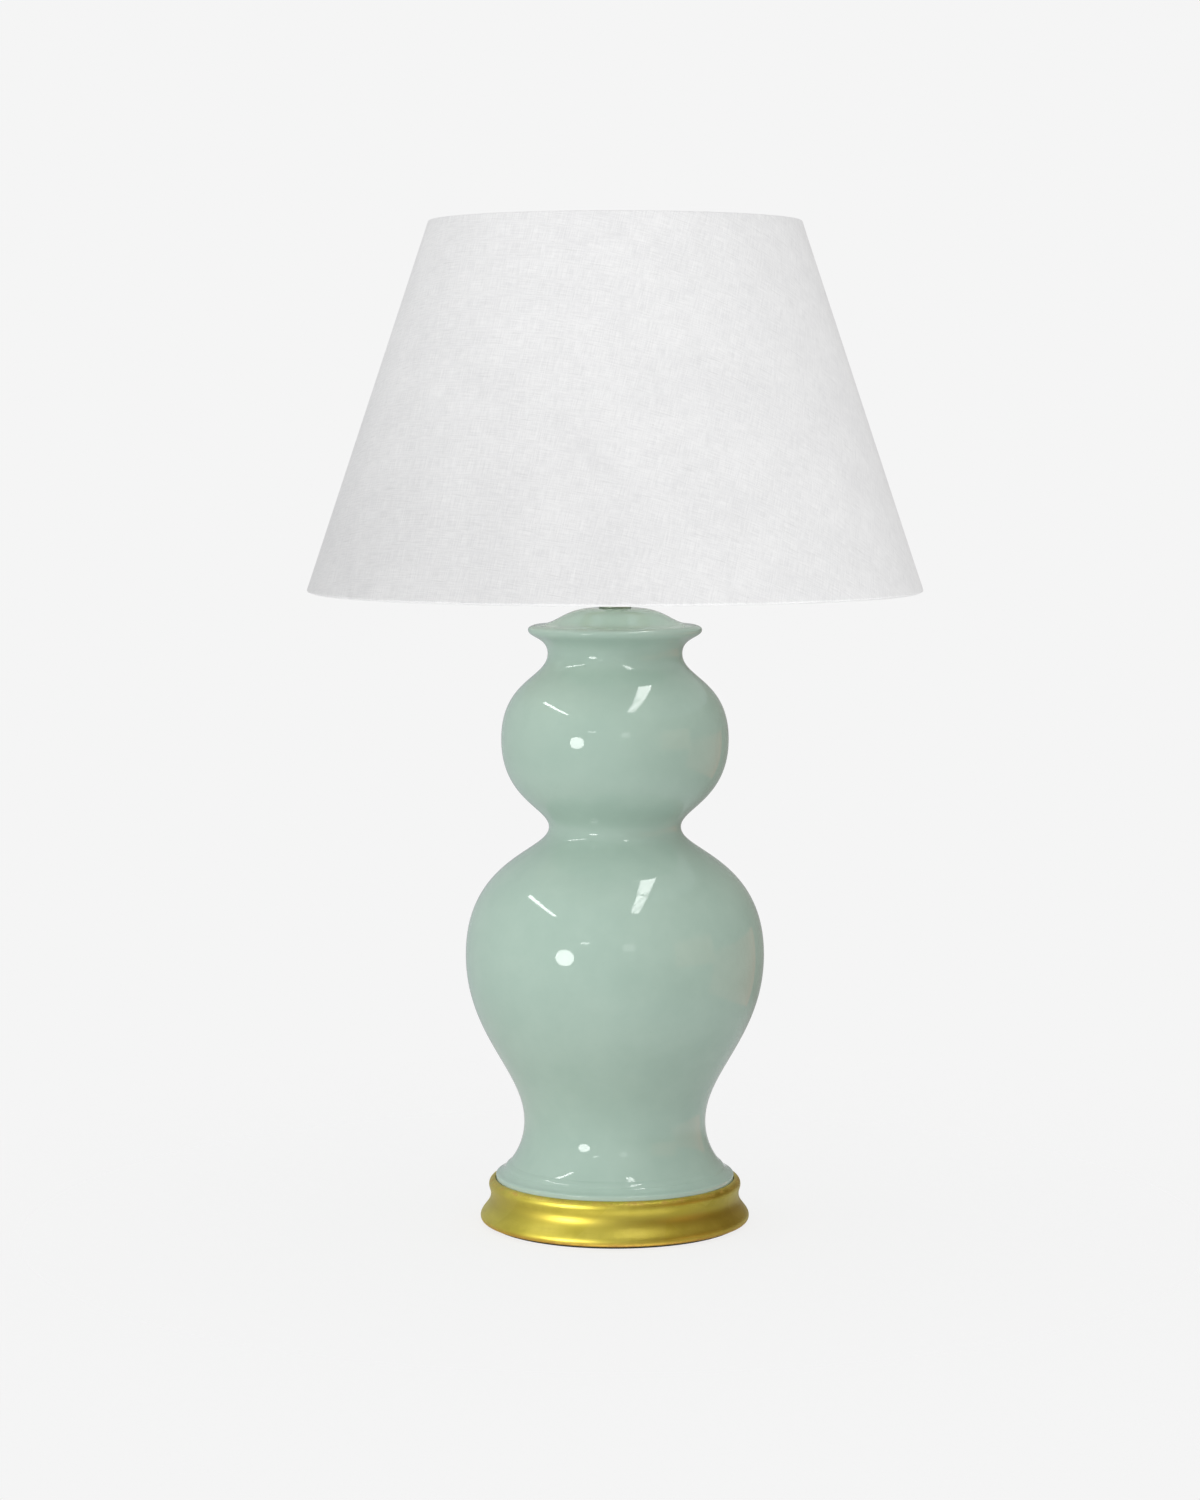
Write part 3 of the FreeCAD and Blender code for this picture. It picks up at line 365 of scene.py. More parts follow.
def felt_cloth():
    """Pressed wool: matted fibres lying every way."""
    f = Finish("felt_cloth")
    spot = f.place()
    fibre = f.noise(f.stretched(spot, (1.0, 3.5, 1.0)), 900.0, 4.0, 0.7, 1.5)
    cross = f.noise(f.stretched(spot, (3.5, 1.0, 1.0)), 850.0, 4.0, 0.7, 1.5)
    cloud = f.noise(spot, 30.0, 3.0, 0.6)
    nap = fibre * 0.5 + cross * 0.5
    colour = f.blend(nap.smooth(0.35, 0.65), linear(38, 44, 40), linear(74, 82, 76))
    colour = f.blend(cloud * 0.3, colour, linear(56, 62, 58))
    return f.surface(colour, 0.95, f.bump(nap, 0.35, 0.7), Sheen_Weight=0.1, Sheen_Roughness=0.5)


def pressed_cork():
    """Cork crumbs bound in rubber."""
    f = Finish("pressed_cork")
    spot = f.place()
    crumbs = 520.0
    tone = f.split(f.cells(spot, crumbs))[0]
    edge = f.cells(spot, crumbs, "Distance", "DISTANCE_TO_EDGE")
    colour = f.blend(tone, linear(120, 86, 52), linear(178, 136, 88))
    colour = f.blend(edge.smooth(0.08, 0.0) * 0.7, colour, linear(70, 48, 30))
    return f.surface(colour, 0.88, f.bump(edge, 0.2, 0.5))


def opal_glass():
    """White-coated bulb glass, a little thinner towards the neck."""
    f = Finish("opal_glass")
    spot = f.place()
    coat = f.noise(spot, 60.0, 3.0, 0.5)
    _, _, z = f.split(spot)
    neck = z.smooth(0.575, 0.556)  # metres
    colour = f.blend(coat, linear(238, 237, 232), linear(247, 246, 242))
    colour = f.blend(neck * 0.3, colour, linear(222, 220, 214))
    sockets = {"Subsurface_Weight": 0.12, "Subsurface_Scale": 0.004, "IOR": 1.5}
    return f.surface(colour, 0.09 + coat * 0.06, f.bump(coat, 0.02, 0.3), **sockets)


LINEN = slubbed_linen()
STYRENE = white_styrene()
GLAZE = celadon_glaze()
GOLD = gold_leaf()
BRASS = worked_metal("satin_brass", (190, 176, 130), (158, 144, 100), 0.3, 70.0, (1, 1, 6), 0.02)
GREY_BRASS = worked_metal("grey_brass", (182, 190, 172), (152, 162, 144), 0.3, 70.0, (1, 1, 6), 0.02)
PLATE = worked_metal("brass_plate", (224, 198, 130), (204, 174, 104), 0.2, 30.0, (1, 1, 0.2), 0.004)
BARE_BRASS = worked_metal("bare_brass", (206, 172, 102), (170, 134, 72), 0.26, 90.0, (1, 1, 4), 0.02)
ZINC = worked_metal("zinc_plate", (186, 190, 194), (148, 154, 160), 0.3, 80.0, (1, 1, 3), 0.03)
ALUMINIUM = worked_metal("rolled_aluminium", (206, 206, 204), (176, 176, 174), 0.28, 90.0, (1, 1, 5), 0.02)
SOLDER = worked_metal("solder", (184, 184, 182), (140, 140, 138), 0.34, 240.0, (1, 1, 1), 0.08)
ENAMEL = moulded("white_enamel", (226, 225, 220), (240, 239, 235), 0.26, 60.0, 0.05,
                 Coat_Weight=0.3, Coat_Roughness=0.15)
NYLON = moulded("black_nylon", (22, 22, 23), (34, 34, 35), 0.42, 120.0, 0.04)
PHENOLIC = moulded("brown_phenolic", (34, 26, 22), (52, 42, 35), 0.4, 110.0, 0.06)
GLOSS_PHENOLIC = moulded("black_phenolic", (16, 15, 15), (30, 28, 27), 0.16, 110.0, 0.03)
BOARD = moulded("pressed_board", (190, 172, 138), (214, 198, 166), 0.8, 160.0, 0.12)
FUSED_GLASS = moulded("fused_glass", (18, 19, 24), (34, 36, 44), 0.1, 140.0, 0.03)
FELT = felt_cloth()
CORK = pressed_cork()
OPAL = opal_glass()

# ---------------------------------------------------------------- outlines and meshes


def flow(low, high, steps):
    """Points of the line between two stations (radius, height, roundness), upright at both."""
    (r0, z0, bend0), (r1, z1, bend1) = low, high
    step = abs(r1 - r0)
    pull0 = math.sqrt(2 / 3 * step * bend0)
    pull1 = math.sqrt(2 / 3 * step * bend1)
    return bezier((r0, z0), (r0, z0 + pull0), (r1, z1 - pull1), (r1, z1), steps)


def bezier(p0, p1, p2, p3, steps):
    """Points of the curve that leaves p0 towards p1 and comes to p3 from p2."""
    points = []
    for k in range(steps + 1):
        t = k / steps
        weights = ((1 - t) ** 3, 3 * t * (1 - t) ** 2, 3 * t * t * (1 - t), t**3)
        points.append(tuple(sum(w * p[axis] for w, p in zip(weights, (p0, p1, p2, p3))) for axis in (0, 1)))
    return points


def joined(*runs):
    """One outline from several runs of points, without the points that repeat."""
    outline = []
    for run in runs:
        for point in run:
            if not outline or math.dist(point, outline[-1]) > SAME_POINT:
                outline.append(point)
    return outline


def eased(corners, steps=4):
    """An outline from (radius, height, ease) corners: each corner is rounded by its ease."""
    outline = []
    count = len(corners)
    for k, (r, z, ease) in enumerate(corners):
        before, after = corners[k - 1], corners[(k + 1) % count]
        if ease <= 0:
            outline.append((r, z))
            continue
        ends = []
        for other in (before, after):
            reach = math.hypot(other[0] - r, other[1] - z)
            share = min(ease, reach * 0.49) / reach
            ends.append((r + (other[0] - r) * share, z + (other[1] - z) * share))
        for step in range(steps + 1):
            t = step / steps
            first, middle, last = (1 - t) ** 2, 2 * t * (1 - t), t * t
            outline.append(tuple(first * ends[0][a] + middle * (r, z)[a] + last * ends[1][a] for a in (0, 1)))
    return outline


def strip(low, high, around):
    """Faces between two rings of points, from the index that each ring starts at."""
    steps = [(k, (k + 1) % around) for k in range(around)]
    return [(low + k, low + nxt, high + nxt, high + k) for k, nxt in steps]


def piece(name, points, faces, body, node, finish, smooth=30.0):
    """A new piece on a body, which stands for a CAD node if it names one. Points are in millimetres."""
    mesh = bpy.data.meshes.new(name)
    mesh.from_pydata([tuple(c * MM for c in point) for point in points], [], faces)
    mesh.validate()
    mesh.shade_smooth()
    mesh.set_sharp_from_angle(angle=math.radians(smooth))
    mesh.materials.append(finish)
    shown = bpy.data.objects.new(name, mesh)
    bpy.context.scene.collection.objects.link(shown)
    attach(shown, body)
    if node:
        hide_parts(node)
    return shown


def spun(outline, around=AROUND, ripple=None):
    """Points and faces of an outline of (radius, height) spun about the axis. ripple(angle, r, z) moves a point."""
    points, rings = [], []
    for r, z in outline:
        if r < ON_AXIS:
            rings.append([len(points)] * around)
            points.append((0.0, 0.0, z))
            continue
        rings.append(range(len(points), len(points) + around))
        for k in range(around):
            angle = 2 * math.pi * k / around
            rr, zz = ripple(angle, r, z) if ripple else (r, z)
            points.append((rr * math.cos(angle), rr * math.sin(angle), zz))
    faces = []
    pairs = list(zip(rings, rings[1:]))
    if outline[0][0] > ON_AXIS or outline[-1][0] > ON_AXIS:
        pairs.append((rings[-1], rings[0]))
    for low, high in pairs:
        for k in range(around):
            nxt = (k + 1) % around
            corners = list(dict.fromkeys((low[k], low[nxt], high[nxt], high[k])))
            if len(corners) > 2:
                faces.append(corners)
    return points, faces


def turned(name, outline, body, node, finish, slot, smooth=30.0, **options):
    """A piece that is an outline spun about the axis."""
    points, faces = spun(outline, **options)
    piece(name, points, faces, body, node, finish, smooth)


def swept(path, section, around):
    """Points and faces of a bar along a path. section(share) gives the bar's half width and half thickness there,
    and how square it is. The path lies in the XZ plane."""
    points, faces = [], []
    count = len(path)
    for k, (x, z) in enumerate(path):
        before, after = path[max(k - 1, 0)], path[min(k + 1, count - 1)]
        dx, dz = after[0] - before[0], after[1] - before[1]
        length = math.hypot(dx, dz)
        side = (dz / length, -dx / length)
        half_y, half_side, square = section(k / (count - 1))
        for j in range(around):
            angle = 2 * math.pi * j / around
            c, s = math.cos(angle), math.sin(angle)
            power = 2 / (2 + square * 8)
            across = math.copysign(abs(c) ** power, c) * half_side
            along_y = math.copysign(abs(s) ** power, s) * half_y
            points.append((x + side[0] * across, along_y, z + side[1] * across))
    for k in range(count - 1):
        faces += strip(k * around, (k + 1) * around, around)
    faces.append(tuple(reversed(range(around))))
    faces.append(tuple(range((count - 1) * around, count * around)))
    return points, faces


# ---------------------------------------------------------------- shade


def cone_point(along, inward):
    """A point of the shade's section, from its lower outer edge: up the slope, and square to it."""
    run, rise = (SHADE_HIGH_R - SHADE_LOW_R) / SLOPE, SHADE_RISE / SLOPE
    return (SHADE_LOW_R + along * run - inward * rise, SHADE_LOW_Z + along * rise + inward * run)


def shade_linen():
    """The cover: one strip of linen round the cone, lapped behind and turned in at both edges."""
    cloth, wire, hem, turned_in = 0.6, 4.0, 8.0, 12
    lap_half_width, lap_thickness, outer_skin = 6.5, 0.55, 0.3
    around = 288
    fold = cloth + wire
    flat_outline = [
        (hem, fold + cloth, 0.25), (hem, fold, 0.25), (cloth, fold, 0.5), (cloth, cloth, 0.5),
        (SLOPE - cloth, cloth, 0.5), (SLOPE - cloth, fold, 0.5), (SLOPE - hem, fold, 0.25),
        (SLOPE - hem, fold + cloth, 0.25), (SLOPE, fold + cloth, 1.6), (SLOPE, 0.0, 1.3),
        (0.0, 0.0, 1.3), (0.0, fold + cloth, 1.6),
    ]
    outline = eased(flat_outline, 5)
    fine, apart = [], 12
    for (a, b), (c, d) in zip(outline, outline[1:] + outline[:1]):
        count = max(1, int(math.dist((a, b), (c, d)) // apart))
        fine += [(a + (c - a) * k / count, b + (d - b) * k / count) for k in range(count)]
    pucker_depth, pucker_reach = 0.12, 9
    random.seed(11)
    puckers = [(random.uniform(0, 2 * math.pi), random.uniform(0.2, 0.5), random.randint(9, 26)) for _ in range(5)]

    def point(angle, along, inward):
        from_seam = abs((angle + math.pi / 2 - SEAM + math.pi) % (2 * math.pi) - math.pi)
        lap = lap_thickness if from_seam * SHADE_LOW_R < lap_half_width and inward < outer_skin else 0.0
        wave = sum(size * math.sin(angle * turns + phase) for phase, size, turns in puckers)
        edge = math.exp(-((along / pucker_reach) ** 2)) + math.exp(-(((SLOPE - along) / pucker_reach) ** 2))
        r, z = cone_point(along, inward - lap - pucker_depth * edge * wave * (inward < outer_skin))
        return (r * math.cos(angle), r * math.sin(angle), z)

    points, faces = [], []
    for along, inward in fine:
        points += [point(2 * math.pi * (k + 0.5) / around, along, inward) for k in range(around)]
    count = len(fine)
    for ring in range(count):
        faces += strip(ring * around, (ring + 1) % count * around, around)
    cover = piece("linen_cover", points, faces, "shade", "shade_fabric", LINEN, 40)


# ---------------------------------------------------------------- vase, lid and base


def glazed_vase():
    """The gourd: a band round the foot, a flare to the waist, then the stations up to the lip, hollow inside."""
    flows = [flow(low, high, 36) for low, high in zip(STATIONS[1:], STATIONS[2:])]
    step, recess = (85.0, 39.4), 33.0
    band = bezier((FOOT_R, 36.0), (FOOT_R, 38.0), (87.6, 37.4), step, 10)
    flare = bezier(step, (77.5, 45.4), (WAIST_R, 59.0), (WAIST_R, WAIST_Z), 40)
    outer = joined([(FOOT_R, FOOT_Z)], band, flare, *flows)
    rim = bezier((LIP_R, LIP_Z), (LIP_R, 448.2), (63.9, 449.0), (60.4, LID_EDGE - 0.1), 10)
    hollow = []
    for (r, z, _), inner_bend in zip(STATIONS[:6], (5.0, 59.5, 120.5, 15.5, 79.5, 21.5)):
        hollow.append((r - WALL, max(z, VASE_FLOOR), inner_bend))
    inner = joined(*[flow(low, high, 12) for low, high in zip(hollow, hollow[1:])])
    outline = joined(
        [(FOOT_R - 1.2, 31.0), (FOOT_R - 0.3, 31.4), (FOOT_R, 32.2)],
        outer,
        rim,
        [(60.0, LID_EDGE - 0.15), (REBATE_R, LID_EDGE - 0.5), (REBATE_R, LID_SEAT), (43.7, LID_SEAT)],
        list(reversed(inner)),
        [(11.0, VASE_FLOOR), (11.0, recess), (75.5, recess), (76.0, 31.0)],
    )
    turned("glazed_vase", outline, "lamp_stand", "gourd_vase", GLAZE, "celadon_glaze", 50, around=AROUND_FINE)


def glazed_lid():
    """The lid: an ogee from the lip's rebate to a flat crown, with a skirt that drops into the mouth."""
    flat_r, roof, hollow_r, skirt_z = 14.0, 456.8, 37.9, 437.2
    edge, rise = 1.2, CROWN - LIP_TOP
    flare, crown = math.sqrt(2 / 3 * rise * 36), math.sqrt(2 / 3 * rise * 80)
    ogee = bezier((59.0, LID_EDGE), (59.4 - edge - flare, LIP_TOP), (flat_r + crown, CROWN), (flat_r, CROWN), 40)
    outline = joined(
        [(43.0, LID_SEAT), (59.5, LID_SEAT), (59.7, LID_EDGE - 1.2), (59.65, LID_EDGE - 0.5), (59.4, LID_EDGE - 0.1)],
        ogee,
        [(BORE_R, CROWN), (BORE_R, roof), (flat_r, roof)],
        bezier((flat_r, roof), (26.0, roof), (hollow_r, 452.0), (hollow_r, LID_SEAT), 12),
        [(hollow_r, 437.6), (38.3, skirt_z), (42.5, skirt_z), (42.9, 437.6)],
    )
    turned("glazed_lid", outline, "lamp_stand", "vase_lid", GLAZE, "celadon_glaze", 50, around=AROUND_FINE)


def gilt_base():
    """Turned base with two beads and a cove, a seat for the vase's foot, and the lead's way in bored from behind."""
    low_bead, cove, high_bead = (101.2, 5.2, 4.5), (93.4, 21.6, 12.0), (94.8, 29.0, 5.0)
    bed, chamber_roof = 29.5, 18.0
    outline = joined(
        [(BORE_R, chamber_roof), (CHAMBER_R, chamber_roof), (CHAMBER_R, FELT_TOP), (98.5, FELT_TOP)],
        bezier((98.5, FELT_TOP), (100.0, FELT_TOP), (101.2, 3.4), low_bead[:2], 8),
        flow(low_bead, cove, 24),
        flow(cove, high_bead, 16),
        bezier(high_bead[:2], (94.8, 31.8), (92.6, BASE_TOP), (90.2, BASE_TOP), 12),
        [(89.95, 33.8), (SEAT_R, 33.5), (SEAT_R, bed), (BORE_R, bed)],
    )
    points, faces = spun(outline, AROUND_FINE)
    base = piece("gilt_base", points, faces, "lamp_stand", "turned_base", GOLD, 50)
    way_r, mouth_r, mouth_at, way_end = 5.25, 7.0, 54.1, 62
    drill = [(0, 0), (way_r, 0), (way_r, mouth_at), (mouth_r, mouth_at), (mouth_r, way_end), (0, way_end)]
    points, faces = spun(drill, 48)
    mesh = bpy.data.meshes.new("lead_way")
    mesh.from_pydata([(x * MM, (z + CHAMBER_R) * MM, (LEAD_Z - y) * MM) for x, y, z in points], [], faces)
    cutter = bpy.data.objects.new("lead_way", mesh)
    bpy.context.scene.collection.objects.link(cutter)
    cut = base.modifiers.new("lead_way", "BOOLEAN")
    cut.object = cutter
    cut.solver = "EXACT"
    bpy.context.view_layer.update()
    applied = bpy.data.meshes.new_from_object(base.evaluated_get(bpy.context.evaluated_depsgraph_get()))
    base.modifiers.clear()
    base.data = applied
    applied.set_sharp_from_angle(angle=math.radians(40))
    bpy.data.objects.remove(cutter)


def felt_pad():
    """Felt disc under the base, with a slightly ragged cut edge."""
    outline = eased([(0, 0, 0), (FELT_R, 0.0, 0.7), (FELT_R, FELT_TOP, 0.3), (0, FELT_TOP, 0)])
    fray = 0.12
    random.seed(5)
    waves = [(random.uniform(0, 6.28), random.randint(20, 90)) for _ in range(6)]

    def frayed(angle, r, z):
        return (r - fray * (1 + sum(math.sin(angle * n + phase) for phase, n in waves) / 6) * (r > 90), z)

    turned("felt_pad", outline, "lamp_stand", "base_felt", FELT, "felt", ripple=frayed)


# ---------------------------------------------------------------- neck, harp and finial


def neck_fittings():
    """The ring that seats on the lid, and the waisted neck above it."""
    ring_outline = eased([(BORE_R, CROWN, 0), (11.9, CROWN, 0.2), (12.1, 463.6, 0.6), (12.1, 465.0, 0.6),
                          (11.2, COLLAR_TOP, 0.5), (BORE_R, COLLAR_TOP, 0)])
    turned("seat_collar", ring_outline, "lamp_stand", "seat_ring", GREY_BRASS, "antique_brass")
    neck_top = 479.8
    foot, waist, head = (8.5, 466.6, 14.0), (7.1, 472.8, 14.0), (8.5, 479.0, 14.0)
    outline = joined(
        [(BORE_R, COLLAR_TOP), (8.2, COLLAR_TOP), (8.45, 466.1)],
        flow(foot, waist, 12),
        flow(waist, head, 12),
        [(8.45, 479.5), (8.2, neck_top), (BORE_R, neck_top)],
    )
    turned("spun_neck", outline, "lamp_stand", "neck_tube", GREY_BRASS, "antique_brass")


def threaded(name, low, high, root, crest, pitch, body, node, finish, inside=None, around=64):
    """A bar with a real screw thread, or a tube where the radius inside is given. The outer skin rises by one pitch a
    turn and fades out at the ends."""
    rows = max(8, int((high - low) / pitch * 8))

    def radius(angle, z):
        phase = ((z - low) / pitch - angle / (2 * math.pi)) % 1
        fade = min(1, (z - low) / pitch, (high - z) / pitch)
        return root + (crest - root) * max(fade, 0) * (0.5 - 0.5 * math.cos(2 * math.pi * phase))

    turns = [2 * math.pi * k / around for k in range(around)]
    levels = [low + (high - low) * k / rows for k in range(rows + 1)]
    points, faces = [], []
    for z in levels:
        points += [(radius(a, z) * math.cos(a), radius(a, z) * math.sin(a), z) for a in turns]
    for row in range(rows):
        faces += strip(row * around, (row + 1) * around, around)
    top = rows * around
    if inside is None:
        faces.append(tuple(reversed(range(around))))
        faces.append(tuple(range(top, top + around)))
    else:
        bore_top, bore_low = top + around, top + 2 * around
        for z in (high, low):
            points += [(inside * math.cos(a), inside * math.sin(a), z) for a in turns]
        faces += strip(top, bore_top, around) + strip(bore_top, bore_low, around) + strip(bore_low, 0, around)
    piece(name, points, faces, body, node, finish, 60)


def harp_line():
    """Half of the harp's middle line, from the foot to the axis."""
    leg_top, flare = SHOULDER + 18, 62.0
    out = HARP_HALF - HARP_LEG_X
    radius = (out**2 + flare**2) / (4 * out)
    half_turn = 2 * math.atan2(out, flare)
    line = [(HARP_LEG_X, SHOULDER + 0.1 + k * 2.5) for k in range(8)]
    for k in range(13):
        a = half_turn * k / 12
        line.append((HARP_LEG_X + radius * (1 - math.cos(a)), leg_top + radius * math.sin(a)))
    for k in range(1, 13):
        a = half_turn * (12 - k) / 12
        line.append((HARP_HALF - radius * (1 - math.cos(a)), leg_top + flare - radius * math.sin(a)))
    top_z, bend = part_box("harp_stud")[1].z / MM - 18.8, 46.0
    line += [(HARP_HALF, leg_top + flare + (top_z - bend - leg_top - flare) * k / 10) for k in range(1, 11)]
    for k in range(1, 25):
        a = math.pi / 2 * k / 24
        line.append((HARP_HALF - bend + bend * math.cos(a), top_z - bend + bend * math.sin(a)))
    line += [(10 * (1 - k / 4), top_z) for k in range(1, 5)]
    return line


def harp_bow():
    """The bent wire, flattened at both feet."""
    half = harp_line()
    path = half + [(-x, z) for x, z in reversed(half[:-1])]
    lengths = [0.0]
    for before, after in zip(path, path[1:]):
        lengths.append(lengths[-1] + math.dist(before, after))
    total = lengths[-1]
    wire_r, foot_length, fade = 1.8, 11.0, 4.0

    def section(share):
        reached = lengths[round(share * (len(path) - 1))]
        flat = min(1, max(0, (foot_length - min(reached, total - reached)) / fade))
        return (wire_r + 0.7 * flat, wire_r - 0.8 * flat, flat)

    points, faces = swept(path, section, 24)
    moved = []
    for x, y, z in points:
        low = max(0.0, min(1.0, (SHOULDER + foot_length - z) / fade))
        moved.append((x - math.copysign(0.75 * low, x), y, z))
    piece("harp_bow", moved, faces, "harp", "harp_wire", PLATE, 40)


def harp_top():
    """The turned fitting round the wire's top, with its flange and the screw that takes the finial."""
    low, top = (v.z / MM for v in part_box("harp_stud"))
    seat = low + 11.8
    flange = seat - 2.0
    fitting = eased([(0, low, 0), (4.3, low, 0.5), (5.0, low + 0.9, 0.5), (5.0, flange, 0.3), (8.0, flange, 0.5),
                     (8.0, seat, 0.4), (3.0, seat, 0)])
    turned("harp_fitting", fitting + [(0.0, seat)], "harp", None, PLATE, "brass_plate", around=64)
    threaded("harp_screw", seat, top, 2.75, 3.1, FINE_PITCH, "harp", "harp_stud", BARE_BRASS)


def finial_knob():
    """A ball on a beaded foot, bored for the harp's screw."""
    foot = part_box("finial")[0].z / MM
    bore_r, neck_r, ball_r = 3.16, 3.9, 8.0
    ball, bore_end = foot + 13.0, foot + 10.5
    tilt = math.asin(neck_r / ball_r)
    knob = [(ball_r * math.sin(a), ball - ball_r * math.cos(a)) for a in
            (tilt + (math.pi - tilt) * k / 36 for k in range(37))]
    outline = joined(
        [(0.0, bore_end), (bore_r, bore_end), (bore_r, foot)],
        eased([(bore_r, foot, 0), (7.3, foot, 0.4), (7.5, foot + 0.8, 0.4), (7.5, foot + 2.0, 0.5),
               (6.4, foot + 2.6, 0.3), (5.4, foot + 2.9, 0.6)])[1:],
        bezier((5.0, foot + 3.1), (4.1, foot + 3.7), (3.5, foot + 4.8), (neck_r, knob[0][1]), 8),
        knob[:-1],
        [(0.0, ball + ball_r)],
    )
    turned("finial_knob", outline, "finial", "finial", BRASS, "antique_brass", 35, around=96)


def sleeves():
    """The two locking sleeves, each with a bead at either end."""
    for name in ("left", "right"):
        node = f"locking_sleeve_{name}"
        low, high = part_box(node)
        middle = (low.x + high.x) / 2 / MM
        outer = (high.x - low.x) / 2 / MM
        bore = outer - 2.1
        z0, z1 = low.z / MM, high.z / MM
        outline = eased([(bore, z0, 0.2), (outer, z0, 0.3), (outer, z0 + 0.9, 0.3), (outer - 0.9, z0 + 1.8, 0.3),
                         (outer - 0.9, z1 - 1.8, 0.3), (outer, z1 - 0.9, 0.3), (outer, z1, 0.3), (bore, z1, 0.2)])
        points, faces = spun(outline, 64)
        points = [(x + middle, y, z) for x, y, z in points]
        piece(f"{name}_sleeve_shell", points, faces, f"{name}_sleeve", node, PLATE, 35)


# ---------------------------------------------------------------- bulb, key and pipe


def light_bulb():
    """Screw cap, its plain collar and cup, the glass, and the drop of solder on the contact."""
    cap_low, cap_high = (v.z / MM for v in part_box("bulb_cap"))
    glass_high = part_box("bulb_glass")[1].z / MM
    threaded("bulb_screw_cap", cap_low + 3, cap_high - 4, 12.1, 13.0, BULB_PITCH, "bulb", None,
             ALUMINIUM, inside=11.6)
    collar = eased([(11.6, cap_low + 2.5, 0), (12.1, cap_low + 2.5, 0), (12.1, cap_low + 3.2, 0),
                    (11.9, cap_high - 4.2, 0), (12.6, cap_high - 3.8, 0.3), (13.0, cap_high, 0.3),
                    (12.5, cap_high, 0.2), (11.5, cap_high - 4, 0)])
    turned("bulb_collar", collar, "bulb", None, ALUMINIUM, "bulb_aluminium", around=96)
    cup = eased([(8.9, cap_low, 0.1), (12.1, cap_low + 2.7, 0.6), (12.1, cap_low + 3.4, 0), (11.5, cap_low + 3.4, 0),
                 (8.9, cap_low + 0.5, 0)])
    turned("bulb_cup", cup, "bulb", "bulb_cap", ALUMINIUM, "bulb_aluminium", around=96)
    globe_r, neck_r, stem_r = 30.0, 14.2, 12.3
    widest, neck = glass_high - globe_r, cap_high + 4.0
    stem = [(0.0, cap_high - 3.0), (stem_r, cap_high - 3.0), (stem_r, cap_high - 0.4), (13.2, cap_high + 0.4)]
    throat = bezier(stem[-1], (14.0, cap_high + 1.2), (neck_r, cap_high + 2.2), (neck_r, neck), 8)
    shoulder = flow((neck_r, neck, 40.0), (globe_r, widest, 30.0), 28)
    crown = [(globe_r * math.cos(a), widest + globe_r * math.sin(a)) for a in
             (math.pi / 2 * k / 28 for k in range(28))]
    outline = joined(stem, throat, shoulder, crown, [(0.0, glass_high)])
    turned("bulb_envelope", outline, "bulb", "bulb_glass", OPAL, "opal_glass", 40, around=128)
    tip_low, tip_high = (v.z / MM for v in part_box("bulb_tip"))
    drop = joined([(0.0, tip_low)], bezier((0.0, tip_low), (2.6, tip_low), (4.2, tip_low + 0.5), (4.6, tip_high), 10),
                  [(0.0, tip_high)])
    turned("bulb_solder", drop, "bulb", "bulb_tip", SOLDER, "solder", 60, around=48)


def turn_key():
    """Paddle key with finger ribs, on a round collar."""
    low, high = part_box("switch_key")
    centre_z = (low.z + high.z) / 2 / MM
    far, near = low.y / MM, high.y / MM
    half_length, half_width, thick = 7.5, 8.5, 2.3
    rib_depth, rib_apart, ribbed = 0.22, 2.1, 7.0
    paddle_y = far + half_length
    points, faces, rows, around = [], [], 20, 72
    rings = []
    for row in range(rows + 1):
        tilt = math.pi * row / rows
        lift, reach = math.cos(tilt), math.sin(tilt) ** 0.35
        ring = []
        for k in range(around):
            angle = 2 * math.pi * k / around
            x = half_width * reach * math.cos(angle)
            y = half_length * reach * math.sin(angle)
            rib = rib_depth * math.cos(x * 2 * math.pi / rib_apart) * (abs(x) < ribbed)
            squash = math.copysign(abs(lift) ** 0.45, lift)
            ring.append(len(points))
            points.append((x, paddle_y + y, centre_z + squash * (thick - 0.25 + rib * (reach > 0.2))))
        rings.append(ring)
    for lower, upper in zip(rings, rings[1:]):
        for k in range(around):
            nxt = (k + 1) % around
            faces.append((lower[k], upper[k], upper[nxt], lower[nxt]))
    piece("key_paddle", points, faces, "switch_key", None, GLOSS_PHENOLIC, 60)
    bore_r, collar_end = 2.05, near - far - 11
    collar = eased([(bore_r, 0.0, 0), (4.0, 0.0, 0.3), (4.2, 1.0, 0.3), (4.2, 2.6, 0.3), (3.4, 3.6, 0.6),
                    (3.2, collar_end, 0.3), (bore_r, collar_end, 0)])
    points, faces = spun(collar, 64)
    points = [(x, near - z, centre_z + y) for x, y, z in points]
    piece("key_collar", points, faces, "switch_key", "switch_key", GLOSS_PHENOLIC, 35)


def lamp_pipe():
    """The threaded pipe, drawn at four times its pitch, and the lampholder's rolled screw shell."""
    low, high = (v.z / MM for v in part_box("threaded_pipe"))
    threaded("screwed_pipe", low, high, 4.55, 4.95, FINE_PITCH * 4, "lamp_stand", "threaded_pipe", ZINC,
             inside=3.4, around=32)
    low, high = (v.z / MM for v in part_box("screw_shell"))
    threaded("lampholder_thread", low, high, 13.4, 13.85, BULB_PITCH, "lamp_stand", "screw_shell",
             BARE_BRASS, inside=13.36, around=72)


# ---------------------------------------------------------------- carried-over nodes

